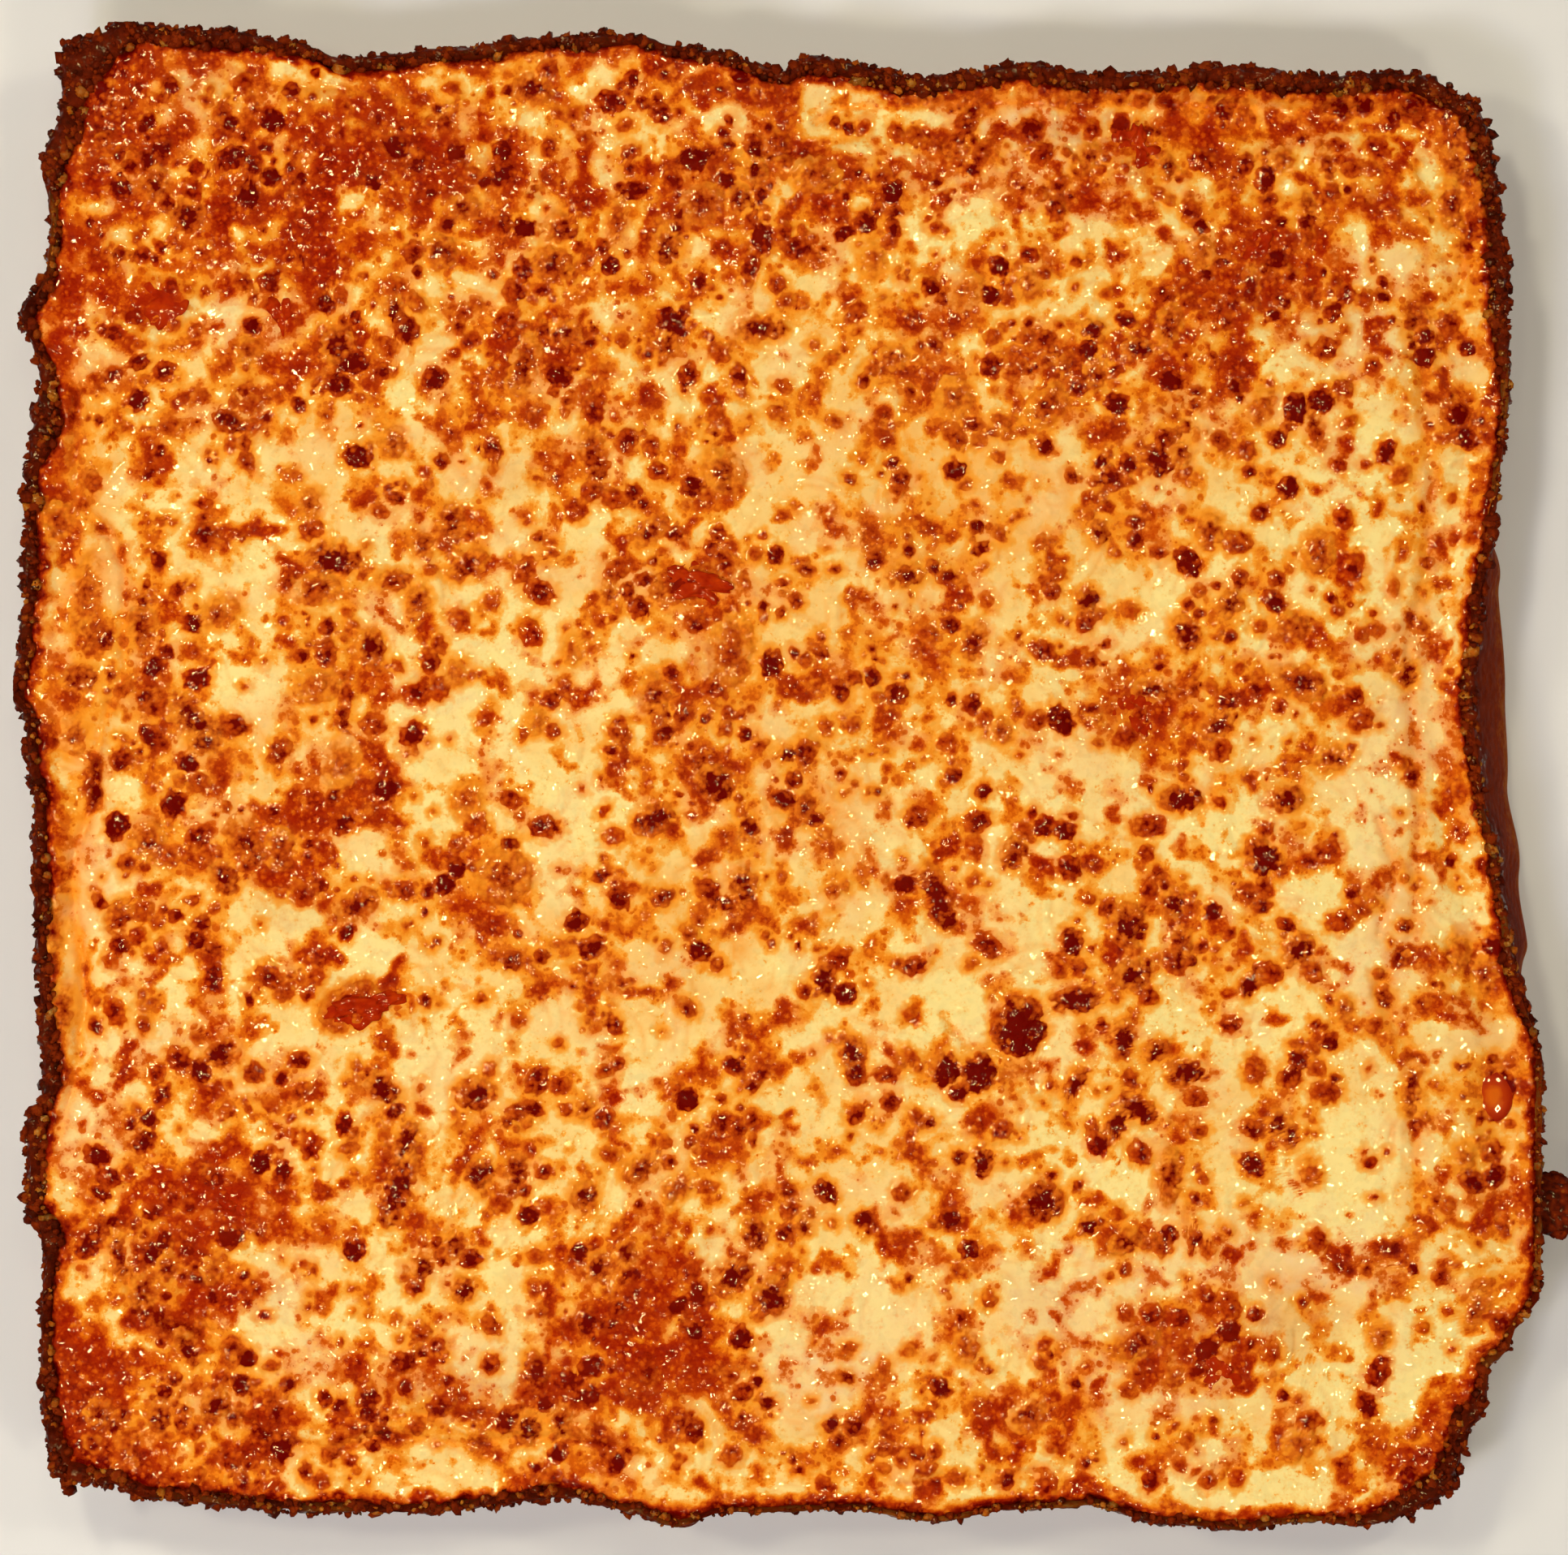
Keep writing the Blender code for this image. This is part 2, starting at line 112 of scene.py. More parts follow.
def ripple(x: np.ndarray, y: np.ndarray, size: float, seed: int) -> np.ndarray:
    """Smooth noise of about -1 to 1.

    Args:
        x: Places along x in millimetres.
        y: Places along y in millimetres.
        size: Width of a bump in millimetres.
        seed: Which noise to use.

    Returns:
        The noise at each place.
    """
    angles = np.random.default_rng(seed).random(SLOPES) * 2.0 * math.pi
    gx, gy = x / size + 500.0, y / size + 500.0
    ix, iy = np.floor(gx).astype(np.int64), np.floor(gy).astype(np.int64)
    fx, fy = gx - ix, gy - iy

    def pull(dx: int, dy: int) -> np.ndarray:
        """The slope of one lattice corner, carried to each place."""
        angle = angles[((ix + dx) * SPREAD[0] + (iy + dy) * SPREAD[1]) & (SLOPES - 1)]
        return np.cos(angle) * (fx - dx) + np.sin(angle) * (fy - dy)

    ux, uy = (part * part * part * (part * (part * 6.0 - 15.0) + 10.0) for part in (fx, fy))
    low = pull(0, 0) * (1 - ux) + pull(1, 0) * ux
    high = pull(0, 1) * (1 - ux) + pull(1, 1) * ux
    return 1.5 * (low * (1 - uy) + high * uy)


def ripples(x: np.ndarray, y: np.ndarray, layers: Layers, start: float | np.ndarray = 0.0) -> np.ndarray:
    """Add up layers of noise, each given as its strength, size in millimetres and seed.

    Args:
        x: Places along x in millimetres.
        y: Places along y in millimetres.
        layers: The layers, first to last.
        start: What they are added to.

    Returns:
        The sum at each place.
    """
    for strength, size, seed in layers:
        start = start + strength * ripple(x, y, size, seed)
    return start


def swell_noise(x: np.ndarray, y: np.ndarray, size: float, salt: float) -> np.ndarray:
    """The same slow undulation as the solid cheese has, read off a lattice and blended.

    Args:
        x: Places along x in millimetres, before the shift to the middle.
        y: Places along y in millimetres, before the shift to the middle.
        size: Width of a bump in millimetres.
        salt: Which noise to use.

    Returns:
        The noise at each place.
    """
    pitch, reach = 4.0, 172.0
    count = int(2 * reach / pitch) + 1
    line = [-reach + pitch * i for i in range(count)]
    table = np.array([[noise.noise(Vector((a / size, b / size, salt))) for a in line] for b in line])
    gx, gy = (np.clip((place + reach) / pitch, 0, count - 1.001) for place in (x, y))
    ix, iy = gx.astype(int), gy.astype(int)
    fx, fy = (part * part * (3 - 2 * part) for part in (gx - ix, gy - iy))
    low = table[iy, ix] * (1 - fx) + table[iy, ix + 1] * fx
    high = table[iy + 1, ix] * (1 - fx) + table[iy + 1, ix + 1] * fx
    return low * (1 - fy) + high * fy


def along(pairs: Pairs, shares: np.ndarray) -> np.ndarray:
    """Values at shares of a side, eased between the stated points.

    Args:
        pairs: Share of the side and value, in order.
        shares: Where to read, from 0 to 1.

    Returns:
        The value at each share.
    """
    values = np.full(shares.shape, float(pairs[-1][1]))
    for (low, before), (high, after) in zip(reversed(pairs[:-1]), reversed(pairs[1:])):
        inside = shares <= high
        step = np.clip((shares - low) / (high - low), 0.0, 1.0)
        values = np.where(inside, before + (after - before) * step * step * (3 - 2 * step), values)
    return values


@dataclass(frozen=True)
class PanSide:
    """One side of the pan, clockwise, with what the pizza does along it, in millimetres."""

    start: tuple[float, float]
    end: tuple[float, float]
    outward: tuple[float, float]
    swell: Pairs
    rim_width: Pairs
    base_inset: Pairs
    gutter: Pairs


TOP_LEFT = (-145.8, 142.9)
TOP_RIGHT = (135.4, 134.1)
BOTTOM_RIGHT = (130.7, -143.2)
BOTTOM_LEFT = (-147.4, -139.8)

SIDES = (
    PanSide(
        TOP_LEFT, TOP_RIGHT, (0.0, 1.0),
        swell=((0, 0), (0.05, 6.0), (0.075, 5.4), (0.12, 5.0), (0.16, 3.4), (0.2, 0.4), (0.27, 2.6),
               (0.35, 5.8), (0.40, 6.4), (0.46, 4.2), (0.51, 0.9), (0.53, 3.7), (0.61, 0.2),
               (0.68, 3.4), (0.73, 1.8), (0.82, 4.0), (0.90, 3.2), (0.95, 3.9), (1, 0)),
        rim_width=((0, 8), (0.05, 5.5), (0.15, 4), (0.3, 3), (0.45, 3.2), (0.55, 5.4), (0.75, 5),
                   (0.85, 6), (1, 5.5)),
        base_inset=((0, 4), (0.5, 3.5), (1, 4)),
        gutter=((0, 0.4), (0.5, 0.6), (0.56, 1.7), (0.9, 1.8), (1, 1.4)),
    ),
    PanSide(
        TOP_RIGHT, BOTTOM_RIGHT, (1.0, 0.0),
        swell=((0, 0), (0.03, 2.0), (0.08, 4.6), (0.13, 5.8), (0.21, 6.4), (0.31, 4.3), (0.36, 1.8),
               (0.43, 0.4), (0.49, 2.4), (0.55, 6.0), (0.61, 9.0), (0.64, 11.7), (0.69, 15.2),
               (0.85, 15.8), (0.89, 10.2), (0.91, 5.8), (0.935, 5.4), (0.955, 1.8), (1, 0)),
        rim_width=((0, 5.5), (0.08, 5), (0.15, 6.5), (0.2, 2.5), (0.27, 2.2), (0.33, 3.6), (0.44, 4.2),
                   (0.56, 3), (0.6, 2.6), (0.635, 6), (0.67, 1.9), (0.86, 1.7), (0.92, 4), (0.95, 7),
                   (1, 8)),
        base_inset=((0, 4), (0.24, 3), (0.3, -1), (0.35, -7), (0.43, -10.6), (0.5, -9), (0.6, -6.8),
                    (0.645, -2), (0.7, 4), (1, 4.5)),
        gutter=((0, 1.4), (0.15, 1.2), (0.3, 1.8), (0.7, 2.0), (0.9, 0.8), (1, 0.6)),
    ),
    PanSide(
        BOTTOM_RIGHT, BOTTOM_LEFT, (0.0, -1.0),
        swell=((0, 0), (0.07, 5.3), (0.10, 4.6), (0.16, 6.5), (0.21, 5.5), (0.26, 2.2), (0.31, 3.0),
               (0.37, 5.6), (0.43, 3.4), (0.52, 4.4), (0.555, 7.4), (0.585, 4.8), (0.63, 2.1),
               (0.74, 5.2), (0.81, 5.3), (0.93, 3.1), (0.96, 0.4), (1, 0)),
        rim_width=((0, 8), (0.05, 4), (0.1, 2), (0.2, 2.8), (0.3, 1.7), (0.5, 1.6), (0.6, 3.2),
                   (0.66, 4.6), (0.72, 3), (0.85, 3), (0.95, 3.5), (1, 5)),
        base_inset=((0, 4.5), (0.5, 3), (1, 4)),
        gutter=((0, 0.5), (0.3, 0.3), (0.6, 1.0), (0.8, 1.6), (1, 0.6)),
    ),
    PanSide(
        BOTTOM_LEFT, TOP_LEFT, (-1.0, 0.0),
        swell=((0, 0), (0.06, 1.5), (0.12, 1.9), (0.165, 1.0), (0.19, 4.7), (0.25, 5.1), (0.275, 1.5),
               (0.39, 3.3), (0.455, 3.6), (0.53, 5.3), (0.555, 8.8), (0.58, 6.6), (0.64, 5.5),
               (0.69, 6.0), (0.78, 3.3), (0.815, 7.0), (0.85, 1.8), (0.88, 1.0), (0.93, 2.4),
               (0.955, -0.6), (1, 0)),
        rim_width=((0, 5), (0.1, 3), (0.18, 4.6), (0.25, 5.6), (0.3, 4), (0.4, 3), (0.6, 2.6),
                   (0.7, 3), (0.745, 6), (0.78, 4), (0.82, 3.2), (0.86, 1.8), (0.89, 1.9), (0.93, 5),
                   (1, 8)),
        base_inset=((0, 4), (0.5, 4.5), (1, 4)),
        gutter=((0, 0.8), (0.2, 1.2), (0.3, 2.4), (0.74, 2.6), (0.84, 1.0), (1, 0.4)),
    ),
)


@dataclass
class PanOutline:
    """The pizza's edge, read at even steps round the four sides."""

    steps: int = 540
    half_width: float = 147.0
    corner_pull: float = 1.0
    corner_steepness: float = 44.0
    crest: float = 24.6
    # Width of the bare rim against the solid's: back, right, front and left.
    bare_shares: tuple = (0.62, 0.50, 0.42, 0.75)
    x: np.ndarray = field(init=False)
    y: np.ndarray = field(init=False)
    rim_width: np.ndarray = field(init=False)
    base_inset: np.ndarray = field(init=False)
    gutter: np.ndarray = field(init=False)
    height: np.ndarray = field(init=False)
    crag: np.ndarray = field(init=False)

    def __post_init__(self) -> None:
        """Read every side's tables."""
        shares = np.arange(self.steps) / self.steps
        rows = []
        for side in SIDES:
            swell = along(side.swell, shares)
            x = side.start[0] + (side.end[0] - side.start[0]) * shares + side.outward[0] * swell
            y = side.start[1] + (side.end[1] - side.start[1]) * shares + side.outward[1] * swell
            pull = 0.0
            for away in (shares, 1.0 - shares):
                pull = pull + self.corner_pull * np.clip(1.0 - away * self.corner_steepness, 0.0, 1.0)
            x = x - np.sign(x) * pull
            y = y - np.sign(y) * pull
            rows.append((x, y, along(side.rim_width, shares), along(side.base_inset, shares),
                         along(side.gutter, shares)))
        self.x, self.y, self.rim_width, self.base_inset, self.gutter = (
            np.concatenate(column) for column in zip(*rows)
        )
        round_about = np.arange(4 * self.steps) / self.steps
        self.rim_width = self.rim_width * np.interp(
            round_about, (0.5, 1.5, 2.5, 3.5), self.bare_shares, period=4)
        self.height = self.crest + 1.7 * self._noise(26.0, 3.0)
        self.crag = 0.8 * self._noise(7.0, 9.0)

    def _noise(self, size: float, salt: float) -> np.ndarray:
        """Noise at each edge point."""
        return np.array([noise.noise(Vector((a / size, b / size, salt))) for a, b in zip(self.x, self.y)])

    def square_index(self, columns: np.ndarray, rows: np.ndarray, half: int) -> tuple[np.ndarray, np.ndarray]:
        """Find the edge step and the share of the way out for places of a square lattice.

        Args:
            columns: Lattice columns from -half to half.
            rows: Lattice rows from -half to half.
            half: Half the lattice's cells along a side.

        Returns:
            The edge position in steps, as a fraction, and the share from the middle to the edge.
        """
        ring = np.maximum(np.abs(columns), np.abs(rows))
        safe = np.maximum(ring, 1)
        u, v = columns / safe, rows / safe
        place = np.where(
            (v >= 1) & (u < 1), (u + 1) / 2,
            np.where((u >= 1) & (v > -1), 1 + (1 - v) / 2,
                     np.where((v <= -1) & (u > -1), 2 + (1 - u) / 2, 3 + (v + 1) / 2)),
        )
        return (place * self.steps) % (4 * self.steps), ring / half

    def read(self, values: np.ndarray, place: np.ndarray) -> np.ndarray:
        """A value of the edge between two steps."""
        low = np.floor(place).astype(int)
        part = place - low
        return values[low % values.size] * (1 - part) + values[(low + 1) % values.size] * part


# Brown spots and blisters by landmark: column, row, half width, half length, turn, darkness.
BLISTERS = (
    (230, 265, 21, 21, 0, 0.95), (415, 425, 20, 24, 0, 0.95), (542, 310, 20, 22, 0, 0.85),
    (690, 280, 19, 22, 90, 0.85), (680, 325, 22, 26, 90, 0.85), (935, 405, 16, 34, 90, 0.9),
    (820, 425, 17, 19, 0, 0.85), (695, 410, 17, 20, 90, 0.85), (645, 450, 17, 42, 15, 0.85),
    (410, 690, 20, 34, 90, 1.0), (455, 795, 19, 21, 0, 0.95), (240, 890, 16, 34, -70, 0.9),
    (250, 915, 16, 22, 90, 0.9), (620, 1080, 34, 34, 0, 0.78), (880, 965, 20, 24, -40, 1.0),
    (805, 1010, 18, 28, 60, 0.95), (730, 560, 18, 34, -15, 0.85), (1340, 740, 15, 16, 0, 1.0),
    (1460, 780, 17, 23, -20, 0.95), (1600, 840, 20, 36, -70, 0.85), (1455, 985, 16, 27, 85, 1.05),
    (1555, 1055, 20, 26, -30, 1.0), (1255, 1265, 32, 35, 0, 1.15), (1165, 1318, 17, 22, 10, 1.1),
    (1205, 1322, 21, 24, 30, 1.1), (1050, 1297, 18, 20, 0, 1.0), (1320, 1160, 16, 18, 0, 1.05),
    (1155, 1105, 18, 42, -20, 1.0), (1325, 1233, 16, 31, 85, 1.05), (1395, 1202, 19, 22, 90, 1.0),
    (1390, 1140, 24, 27, 0, 0.95), (1285, 1480, 24, 27, 90, 1.0), (1210, 1430, 14, 22, 0, 1.0),
    (1340, 1510, 11, 12, 0, 1.05), (470, 1340, 17, 23, -40, 1.0), (585, 1348, 20, 27, 90, 0.95),
    (490, 1465, 18, 50, 20, 0.95), (900, 1575, 20, 27, 45, 0.95), (950, 1598, 22, 24, 0, 0.95),
    (735, 1560, 15, 18, 0, 0.95), (1540, 1213, 12, 18, 30, 1.0), (1600, 1170, 17, 21, 30, 0.98),
    (1460, 1322, 16, 24, 80, 0.98), (1575, 1385, 14, 16, 0, 0.95), (1740, 1340, 12, 36, 5, 0.85),
    (970, 929, 11, 12, 0, 1.0), (915, 1088, 18, 21, -30, 0.9), (1015, 1207, 15, 20, 0, 1.0),
    (1400, 1365, 16, 27, -65, 1.0), (1375, 1385, 13, 21, 20, 1.0), (1445, 1112, 15, 18, 0, 0.95),
    (1500, 895, 15, 23, 60, 0.9), (1420, 850, 14, 26, 80, 0.85), (1345, 405, 12, 15, 90, 1.0),
    (1400, 430, 13, 19, 90, 0.95), (1350, 460, 16, 20, 0, 0.8), (1200, 790, 16, 26, 20, 0.85),
    (1115, 708, 16, 24, 90, 0.85), (1355, 655, 14, 17, 0, 0.9), (1490, 655, 17, 23, 0, 0.8),
    (1250, 1050, 16, 22, 20, 0.85), (1235, 900, 13, 17, 0, 0.8), (1455, 1160, 14, 21, -20, 0.85),
    (1385, 1280, 15, 24, 0, 0.98), (1425, 1295, 13, 17, 60, 0.98), (1325, 1335, 12, 24, 30, 0.9),
    (1590, 1400, 13, 17, 0, 0.9), (1640, 935, 17, 20, 70, 0.8), (1515, 745, 15, 19, 30, 0.85),
    (1585, 985, 17, 22, 80, 0.98), (590, 1445, 17, 21, 30, 0.98), (500, 1405, 14, 25, 20, 0.95),
    (270, 1298, 15, 19, 60, 0.98), (300, 1035, 19, 33, -30, 0.85), (345, 1045, 18, 26, 0, 0.85),
    (430, 1240, 26, 40, 60, 0.9), (275, 1080, 17, 24, -30, 0.85), (440, 1115, 18, 28, 60, 0.85),
    (180, 1035, 20, 27, 20, 0.78), (145, 1130, 16, 24, 20, 0.85), (230, 875, 17, 28, -40, 0.9),
    (175, 770, 18, 24, 0, 0.85), (485, 715, 14, 22, 90, 0.85), (515, 740, 15, 20, 0, 0.85),
    (575, 695, 18, 28, 60, 0.85), (520, 670, 14, 18, 0, 0.85), (555, 640, 16, 21, 0, 0.85),
    (390, 725, 20, 30, 80, 0.78), (270, 755, 18, 25, 60, 0.72), (380, 620, 15, 19, 0, 0.75),
    (485, 380, 13, 16, 0, 0.95), (485, 543, 17, 19, 0, 0.82), (305, 430, 15, 18, 0, 0.75),
    (570, 255, 15, 21, 90, 0.85), (655, 108, 20, 25, 90, 0.88), (190, 225, 17, 21, 0, 0.88),
    (820, 302, 18, 24, 0, 0.9), (865, 250, 23, 29, 60, 0.85), (910, 243, 15, 18, 0, 0.9),
    (930, 210, 14, 19, 0, 0.85), (760, 270, 12, 30, 10, 0.75), (1005, 215, 22, 30, 90, 0.75),
    (1100, 440, 15, 20, 90, 0.8), (1175, 490, 22, 27, 0, 0.72), (1075, 320, 17, 22, 0, 0.62),
    (1190, 360, 18, 26, 40, 0.7), (1265, 350, 16, 20, 0, 0.7), (1440, 400, 17, 27, 10, 0.82),
    (1480, 310, 16, 21, 0, 0.75), (1540, 355, 13, 26, 0, 0.95), (1440, 205, 12, 16, 0, 0.85),
    (1345, 190, 12, 15, 0, 0.85), (1580, 195, 14, 17, 0, 0.78), (1635, 200, 10, 22, -20, 0.85),
    (1610, 250, 12, 15, 0, 0.8), (1795, 200, 14, 20, 0, 0.85), (1790, 250, 17, 30, 0, 0.82),
    (1620, 530, 13, 28, -20, 0.82), (1625, 680, 20, 27, 0, 0.82), (1590, 770, 18, 24, 90, 0.75),
    (1455, 560, 13, 17, 0, 0.8), (1555, 500, 17, 24, 30, 0.72), (1290, 500, 21, 32, 40, 0.78),
    (890, 580, 23, 30, -30, 0.75), (800, 655, 15, 24, 50, 0.85), (845, 720, 20, 45, 75, 1.0),
    (805, 855, 20, 26, 0, 0.8), (900, 800, 27, 46, 10, 0.72), (750, 730, 12, 17, 0, 0.8),
    (560, 830, 13, 16, 0, 0.7), (705, 800, 13, 20, 0, 0.6), (660, 890, 12, 15, 0, 0.65),
    (420, 940, 22, 34, 20, 0.7), (390, 845, 20, 30, 80, 0.7), (575, 985, 18, 24, 0, 0.72),
    (635, 1440, 16, 21, 0, 0.9), (720, 1475, 17, 20, 0, 0.85), (770, 1545, 14, 17, 0, 0.85),
    (520, 1560, 13, 17, 0, 0.9), (570, 1590, 14, 17, 0, 0.98), (660, 1690, 15, 23, -10, 0.95),
    (560, 1535, 14, 18, 0, 0.88), (930, 1520, 16, 22, -10, 0.92), (990, 1510, 12, 15, 0, 0.8),
    (720, 1365, 12, 16, 0, 0.78), (790, 1440, 15, 26, 60, 0.85), (835, 1465, 14, 26, 50, 0.78),
    (650, 1760, 16, 22, 0, 0.98), (690, 1750, 14, 19, 0, 0.9), (265, 1730, 16, 21, 30, 0.92),
    (195, 1745, 13, 21, 0, 0.92), (230, 1660, 13, 27, -30, 0.88), (120, 1740, 16, 19, 0, 0.85),
    (175, 1590, 17, 24, 0, 0.85), (205, 1560, 15, 18, 0, 0.85), (260, 1565, 14, 18, 0, 0.8),
    (145, 1545, 12, 30, -10, 0.9), (1655, 1245, 13, 17, 0, 0.72), (1615, 1445, 14, 18, 0, 0.72),
    (1600, 1780, 20, 20, 0, 0.72), (1440, 1450, 16, 36, 5, 0.8), (1385, 1530, 16, 22, 60, 0.85),
    (1400, 1655, 18, 30, 70, 0.9), (1265, 1745, 17, 27, 60, 0.82), (1190, 1660, 16, 22, 0, 0.75),
    (1700, 1645, 14, 18, 0, 0.72), (1820, 1615, 13, 26, 20, 0.8), (1805, 1425, 14, 18, 0, 0.68),
    (1830, 1200, 15, 24, 0, 0.78), (1800, 1170, 14, 22, 0, 0.7), (1735, 830, 13, 17, 0, 0.9),
    (95, 835, 17, 25, 90, 0.85), (90, 905, 18, 26, 0, 0.72), (70, 640, 17, 24, 0, 0.78),
    (105, 730, 19, 50, 10, 0.72), (62, 1140, 13, 34, 0, 0.72), (75, 1240, 14, 28, 0, 0.75),
)

# Wide changes of tone by landmark: column, row, half width, half length, turn, strength.
CREAM = (
    (1640, 1430, 75, 60, -20, 0.9), (1180, 1240, 42, 45, 0, 0.95), (1510, 1020, 62, 36, 10, 0.9),
    (450, 1170, 50, 26, 15, 0.8), (375, 1405, 60, 30, -20, 0.9), (740, 1010, 40, 42, 0, 0.8),
    (500, 490, 34, 40, 0, 0.7), (190, 320, 34, 40, 30, 0.8), (240, 230, 36, 36, 0, 0.8),
    (1790, 640, 40, 70, 0, 0.5), (1740, 1680, 80, 90, 35, 0.75), (760, 105, 60, 24, 0, 0.8),
    (690, 270, 60, 36, 20, 0.55), (1070, 145, 70, 30, -10, 0.7), (1720, 170, 60, 30, 0, 0.6),
    (395, 92, 75, 18, 0, 0.85), (630, 790, 70, 60, 0, 0.55), (590, 900, 70, 60, 0, 0.5),
    (150, 1150, 50, 60, 0, 0.5), (110, 1300, 34, 90, 0, 0.6), (250, 1230, 60, 40, 0, 0.35),
    (760, 600, 40, 60, -20, 0.5), (1170, 270, 55, 45, 0, 0.5), (1660, 560, 60, 80, 0, 0.45),
    (1640, 720, 60, 90, 0, 0.4), (1600, 1100, 60, 50, 0, 0.35), (1380, 1430, 50, 50, 0, 0.55),
    (330, 1640, 30, 40, 0, 0.5), (1050, 1590, 60, 60, 40, 0.4), (470, 1620, 60, 50, 0, 0.35),
    (1300, 1830, 250, 26, 0, 0.4), (200, 1795, 90, 24, -10, 0.6), (1560, 1840, 120, 26, 0, 0.5),
    (850, 145, 60, 24, 0, 0.6), (1560, 1260, 60, 60, 0, 0.35), (1680, 1010, 50, 60, 0, 0.4),
    (1290, 1020, 50, 50, 0, 0.3), (230, 600, 60, 40, 0, 0.4), (280, 840, 60, 50, 0, 0.35),
    (1010, 1380, 40, 24, 0, 0.4), (640, 330, 30, 30, 0, 0.35), (1250, 290, 40, 30, 0, 0.5),
    (1700, 1500, 60, 40, 0, 0.3), (500, 1330, 30, 30, 0, 0.5), (580, 1270, 60, 50, 0, 0.35),
)
TOASTED = (
    (480, 180, 90, 60, 15, 0.55), (330, 260, 70, 60, 0, 0.35), (110, 330, 50, 50, 0, 0.3),
    (390, 330, 60, 60, 0, 0.35), (620, 230, 40, 50, 0, 0.35), (640, 480, 80, 60, 0, 0.35),
    (850, 240, 60, 50, 20, 0.4), (1000, 200, 60, 22, 10, 0.4), (870, 110, 90, 26, 0, 0.25),
    (860, 600, 60, 80, 10, 0.35), (1150, 440, 90, 70, 0, 0.3), (1480, 400, 80, 80, 0, 0.4),
    (1540, 340, 60, 60, 0, 0.35), (1300, 470, 60, 60, 0, 0.3), (1590, 290, 80, 60, 0, 0.25),
    (880, 770, 60, 90, 0, 0.35), (840, 960, 110, 60, 20, 0.35), (330, 1050, 90, 60, 10, 0.4),
    (430, 960, 80, 60, 0, 0.35), (270, 1480, 110, 60, 20, 0.4), (220, 1580, 90, 60, 30, 0.4),
    (800, 1570, 130, 90, 20, 0.4), (820, 1680, 110, 80, 0, 0.4), (560, 1720, 110, 50, 0, 0.35),
    (490, 1440, 50, 80, -15, 0.35), (1220, 1100, 90, 70, 0, 0.15), (1410, 1150, 70, 70, 0, 0.2),
    (1430, 860, 70, 60, 0, 0.35), (1480, 1660, 90, 60, 10, 0.3), (1290, 1750, 80, 40, 0, 0.25),
    (105, 720, 26, 130, 0, 0.25), (340, 1770, 80, 26, -15, 0.35), (130, 100, 50, 60, 0, 0.35),
    (110, 1700, 50, 90, 0, 0.4), (1760, 1790, 70, 60, -40, 0.4), (1560, 800, 60, 60, 0, 0.2),
    (600, 1100, 60, 60, 0, 0.2), (420, 440, 60, 60, 0, 0.3), (680, 420, 60, 50, 0, 0.3),
    (1180, 790, 50, 50, 0, 0.2), (410, 850, 70, 40, 0, 0.25), (1010, 1440, 90, 60, 0, 0.1),
)
OILY = (
    (1100, 560, 260, 160, 0, 0.5), (980, 860, 200, 200, 0, 0.35), (760, 1180, 200, 110, 0, 0.45),
    (960, 1060, 160, 110, 0, 0.35), (560, 540, 140, 90, 0, 0.35), (320, 540, 150, 90, 0, 0.3),
    (1250, 660, 160, 90, 0, 0.4), (1500, 560, 110, 90, 0, 0.25), (1050, 1440, 200, 110, 0, 0.3),
    (100, 700, 44, 300, 0, 0.6), (1830, 1330, 55, 110, 0, 0.55), (960, 1730, 200, 60, 0, 0.45),
    (1420, 1720, 160, 60, 0, 0.2), (340, 930, 140, 70, 0, 0.3), (1540, 1380, 90, 60, 0, 0.3),
    (1640, 1640, 110, 60, 20, 0.3), (1800, 470, 50, 120, 0, 0.3), (720, 700, 90, 60, 0, 0.25),
    (1830, 1560, 50, 80, 0, 0.3), (90, 1140, 30, 220, 0, 0.5), (1320, 870, 90, 80, 0, 0.3),
    (600, 70, 130, 26, 0, 0.4), (900, 110, 130, 40, 0, 0.35), (250, 960, 80, 60, 0, 0.2),
)
SAUCY = (
    (205, 372, 44, 34, 20, 1.0), (165, 400, 40, 26, 0, 0.5), (1400, 192, 30, 44, -10, 0.85),
    (860, 722, 40, 30, -10, 0.75), (1392, 885, 36, 52, -20, 0.8), (285, 1480, 34, 28, 0, 0.7),
    (1183, 325, 18, 12, 0, 0.6), (1703, 239, 12, 22, -20, 0.8), (450, 135, 90, 45, 10, 0.6),
    (351, 399, 26, 20, 0, 0.6), (440, 1240, 60, 36, 10, 0.6), (1544, 380, 26, 46, 0, 0.65),
    (830, 1560, 60, 60, 0, 0.45), (1480, 1655, 120, 60, 0, 0.55), (240, 1505, 90, 40, 15, 0.55),
    (260, 105, 70, 26, -10, 0.35), (560, 200, 60, 50, 0, 0.45), (330, 330, 60, 40, 0, 0.4),
    (130, 300, 40, 40, 0, 0.35), (1000, 190, 50, 20, 10, 0.5), (860, 240, 50, 40, 0, 0.4),
    (930, 300, 40, 30, 0, 0.3), (1640, 390, 60, 40, 0, 0.35), (360, 1110, 60, 40, 20, 0.4),
    (560, 1720, 110, 40, 0, 0.45), (820, 1700, 90, 60, 0, 0.4), (700, 1700, 60, 50, 0, 0.4),
    (1290, 1600, 40, 60, 0, 0.3), (1600, 1620, 60, 40, 0, 0.35), (880, 830, 40, 60, 0, 0.4),
    (470, 700, 30, 30, 0, 0.2), (330, 1600, 40, 40, 0, 0.35), (200, 1600, 50, 40, 0, 0.4),
    (1130, 1100, 40, 60, 0, 0.15), (630, 590, 40, 30, 0, 0.3), (305, 500, 24, 34, -20, 0.5),
    (80, 560, 24, 60, 0, 0.4), (1740, 450, 26, 60, 0, 0.3), (1340, 160, 60, 26, 0, 0.3),
)
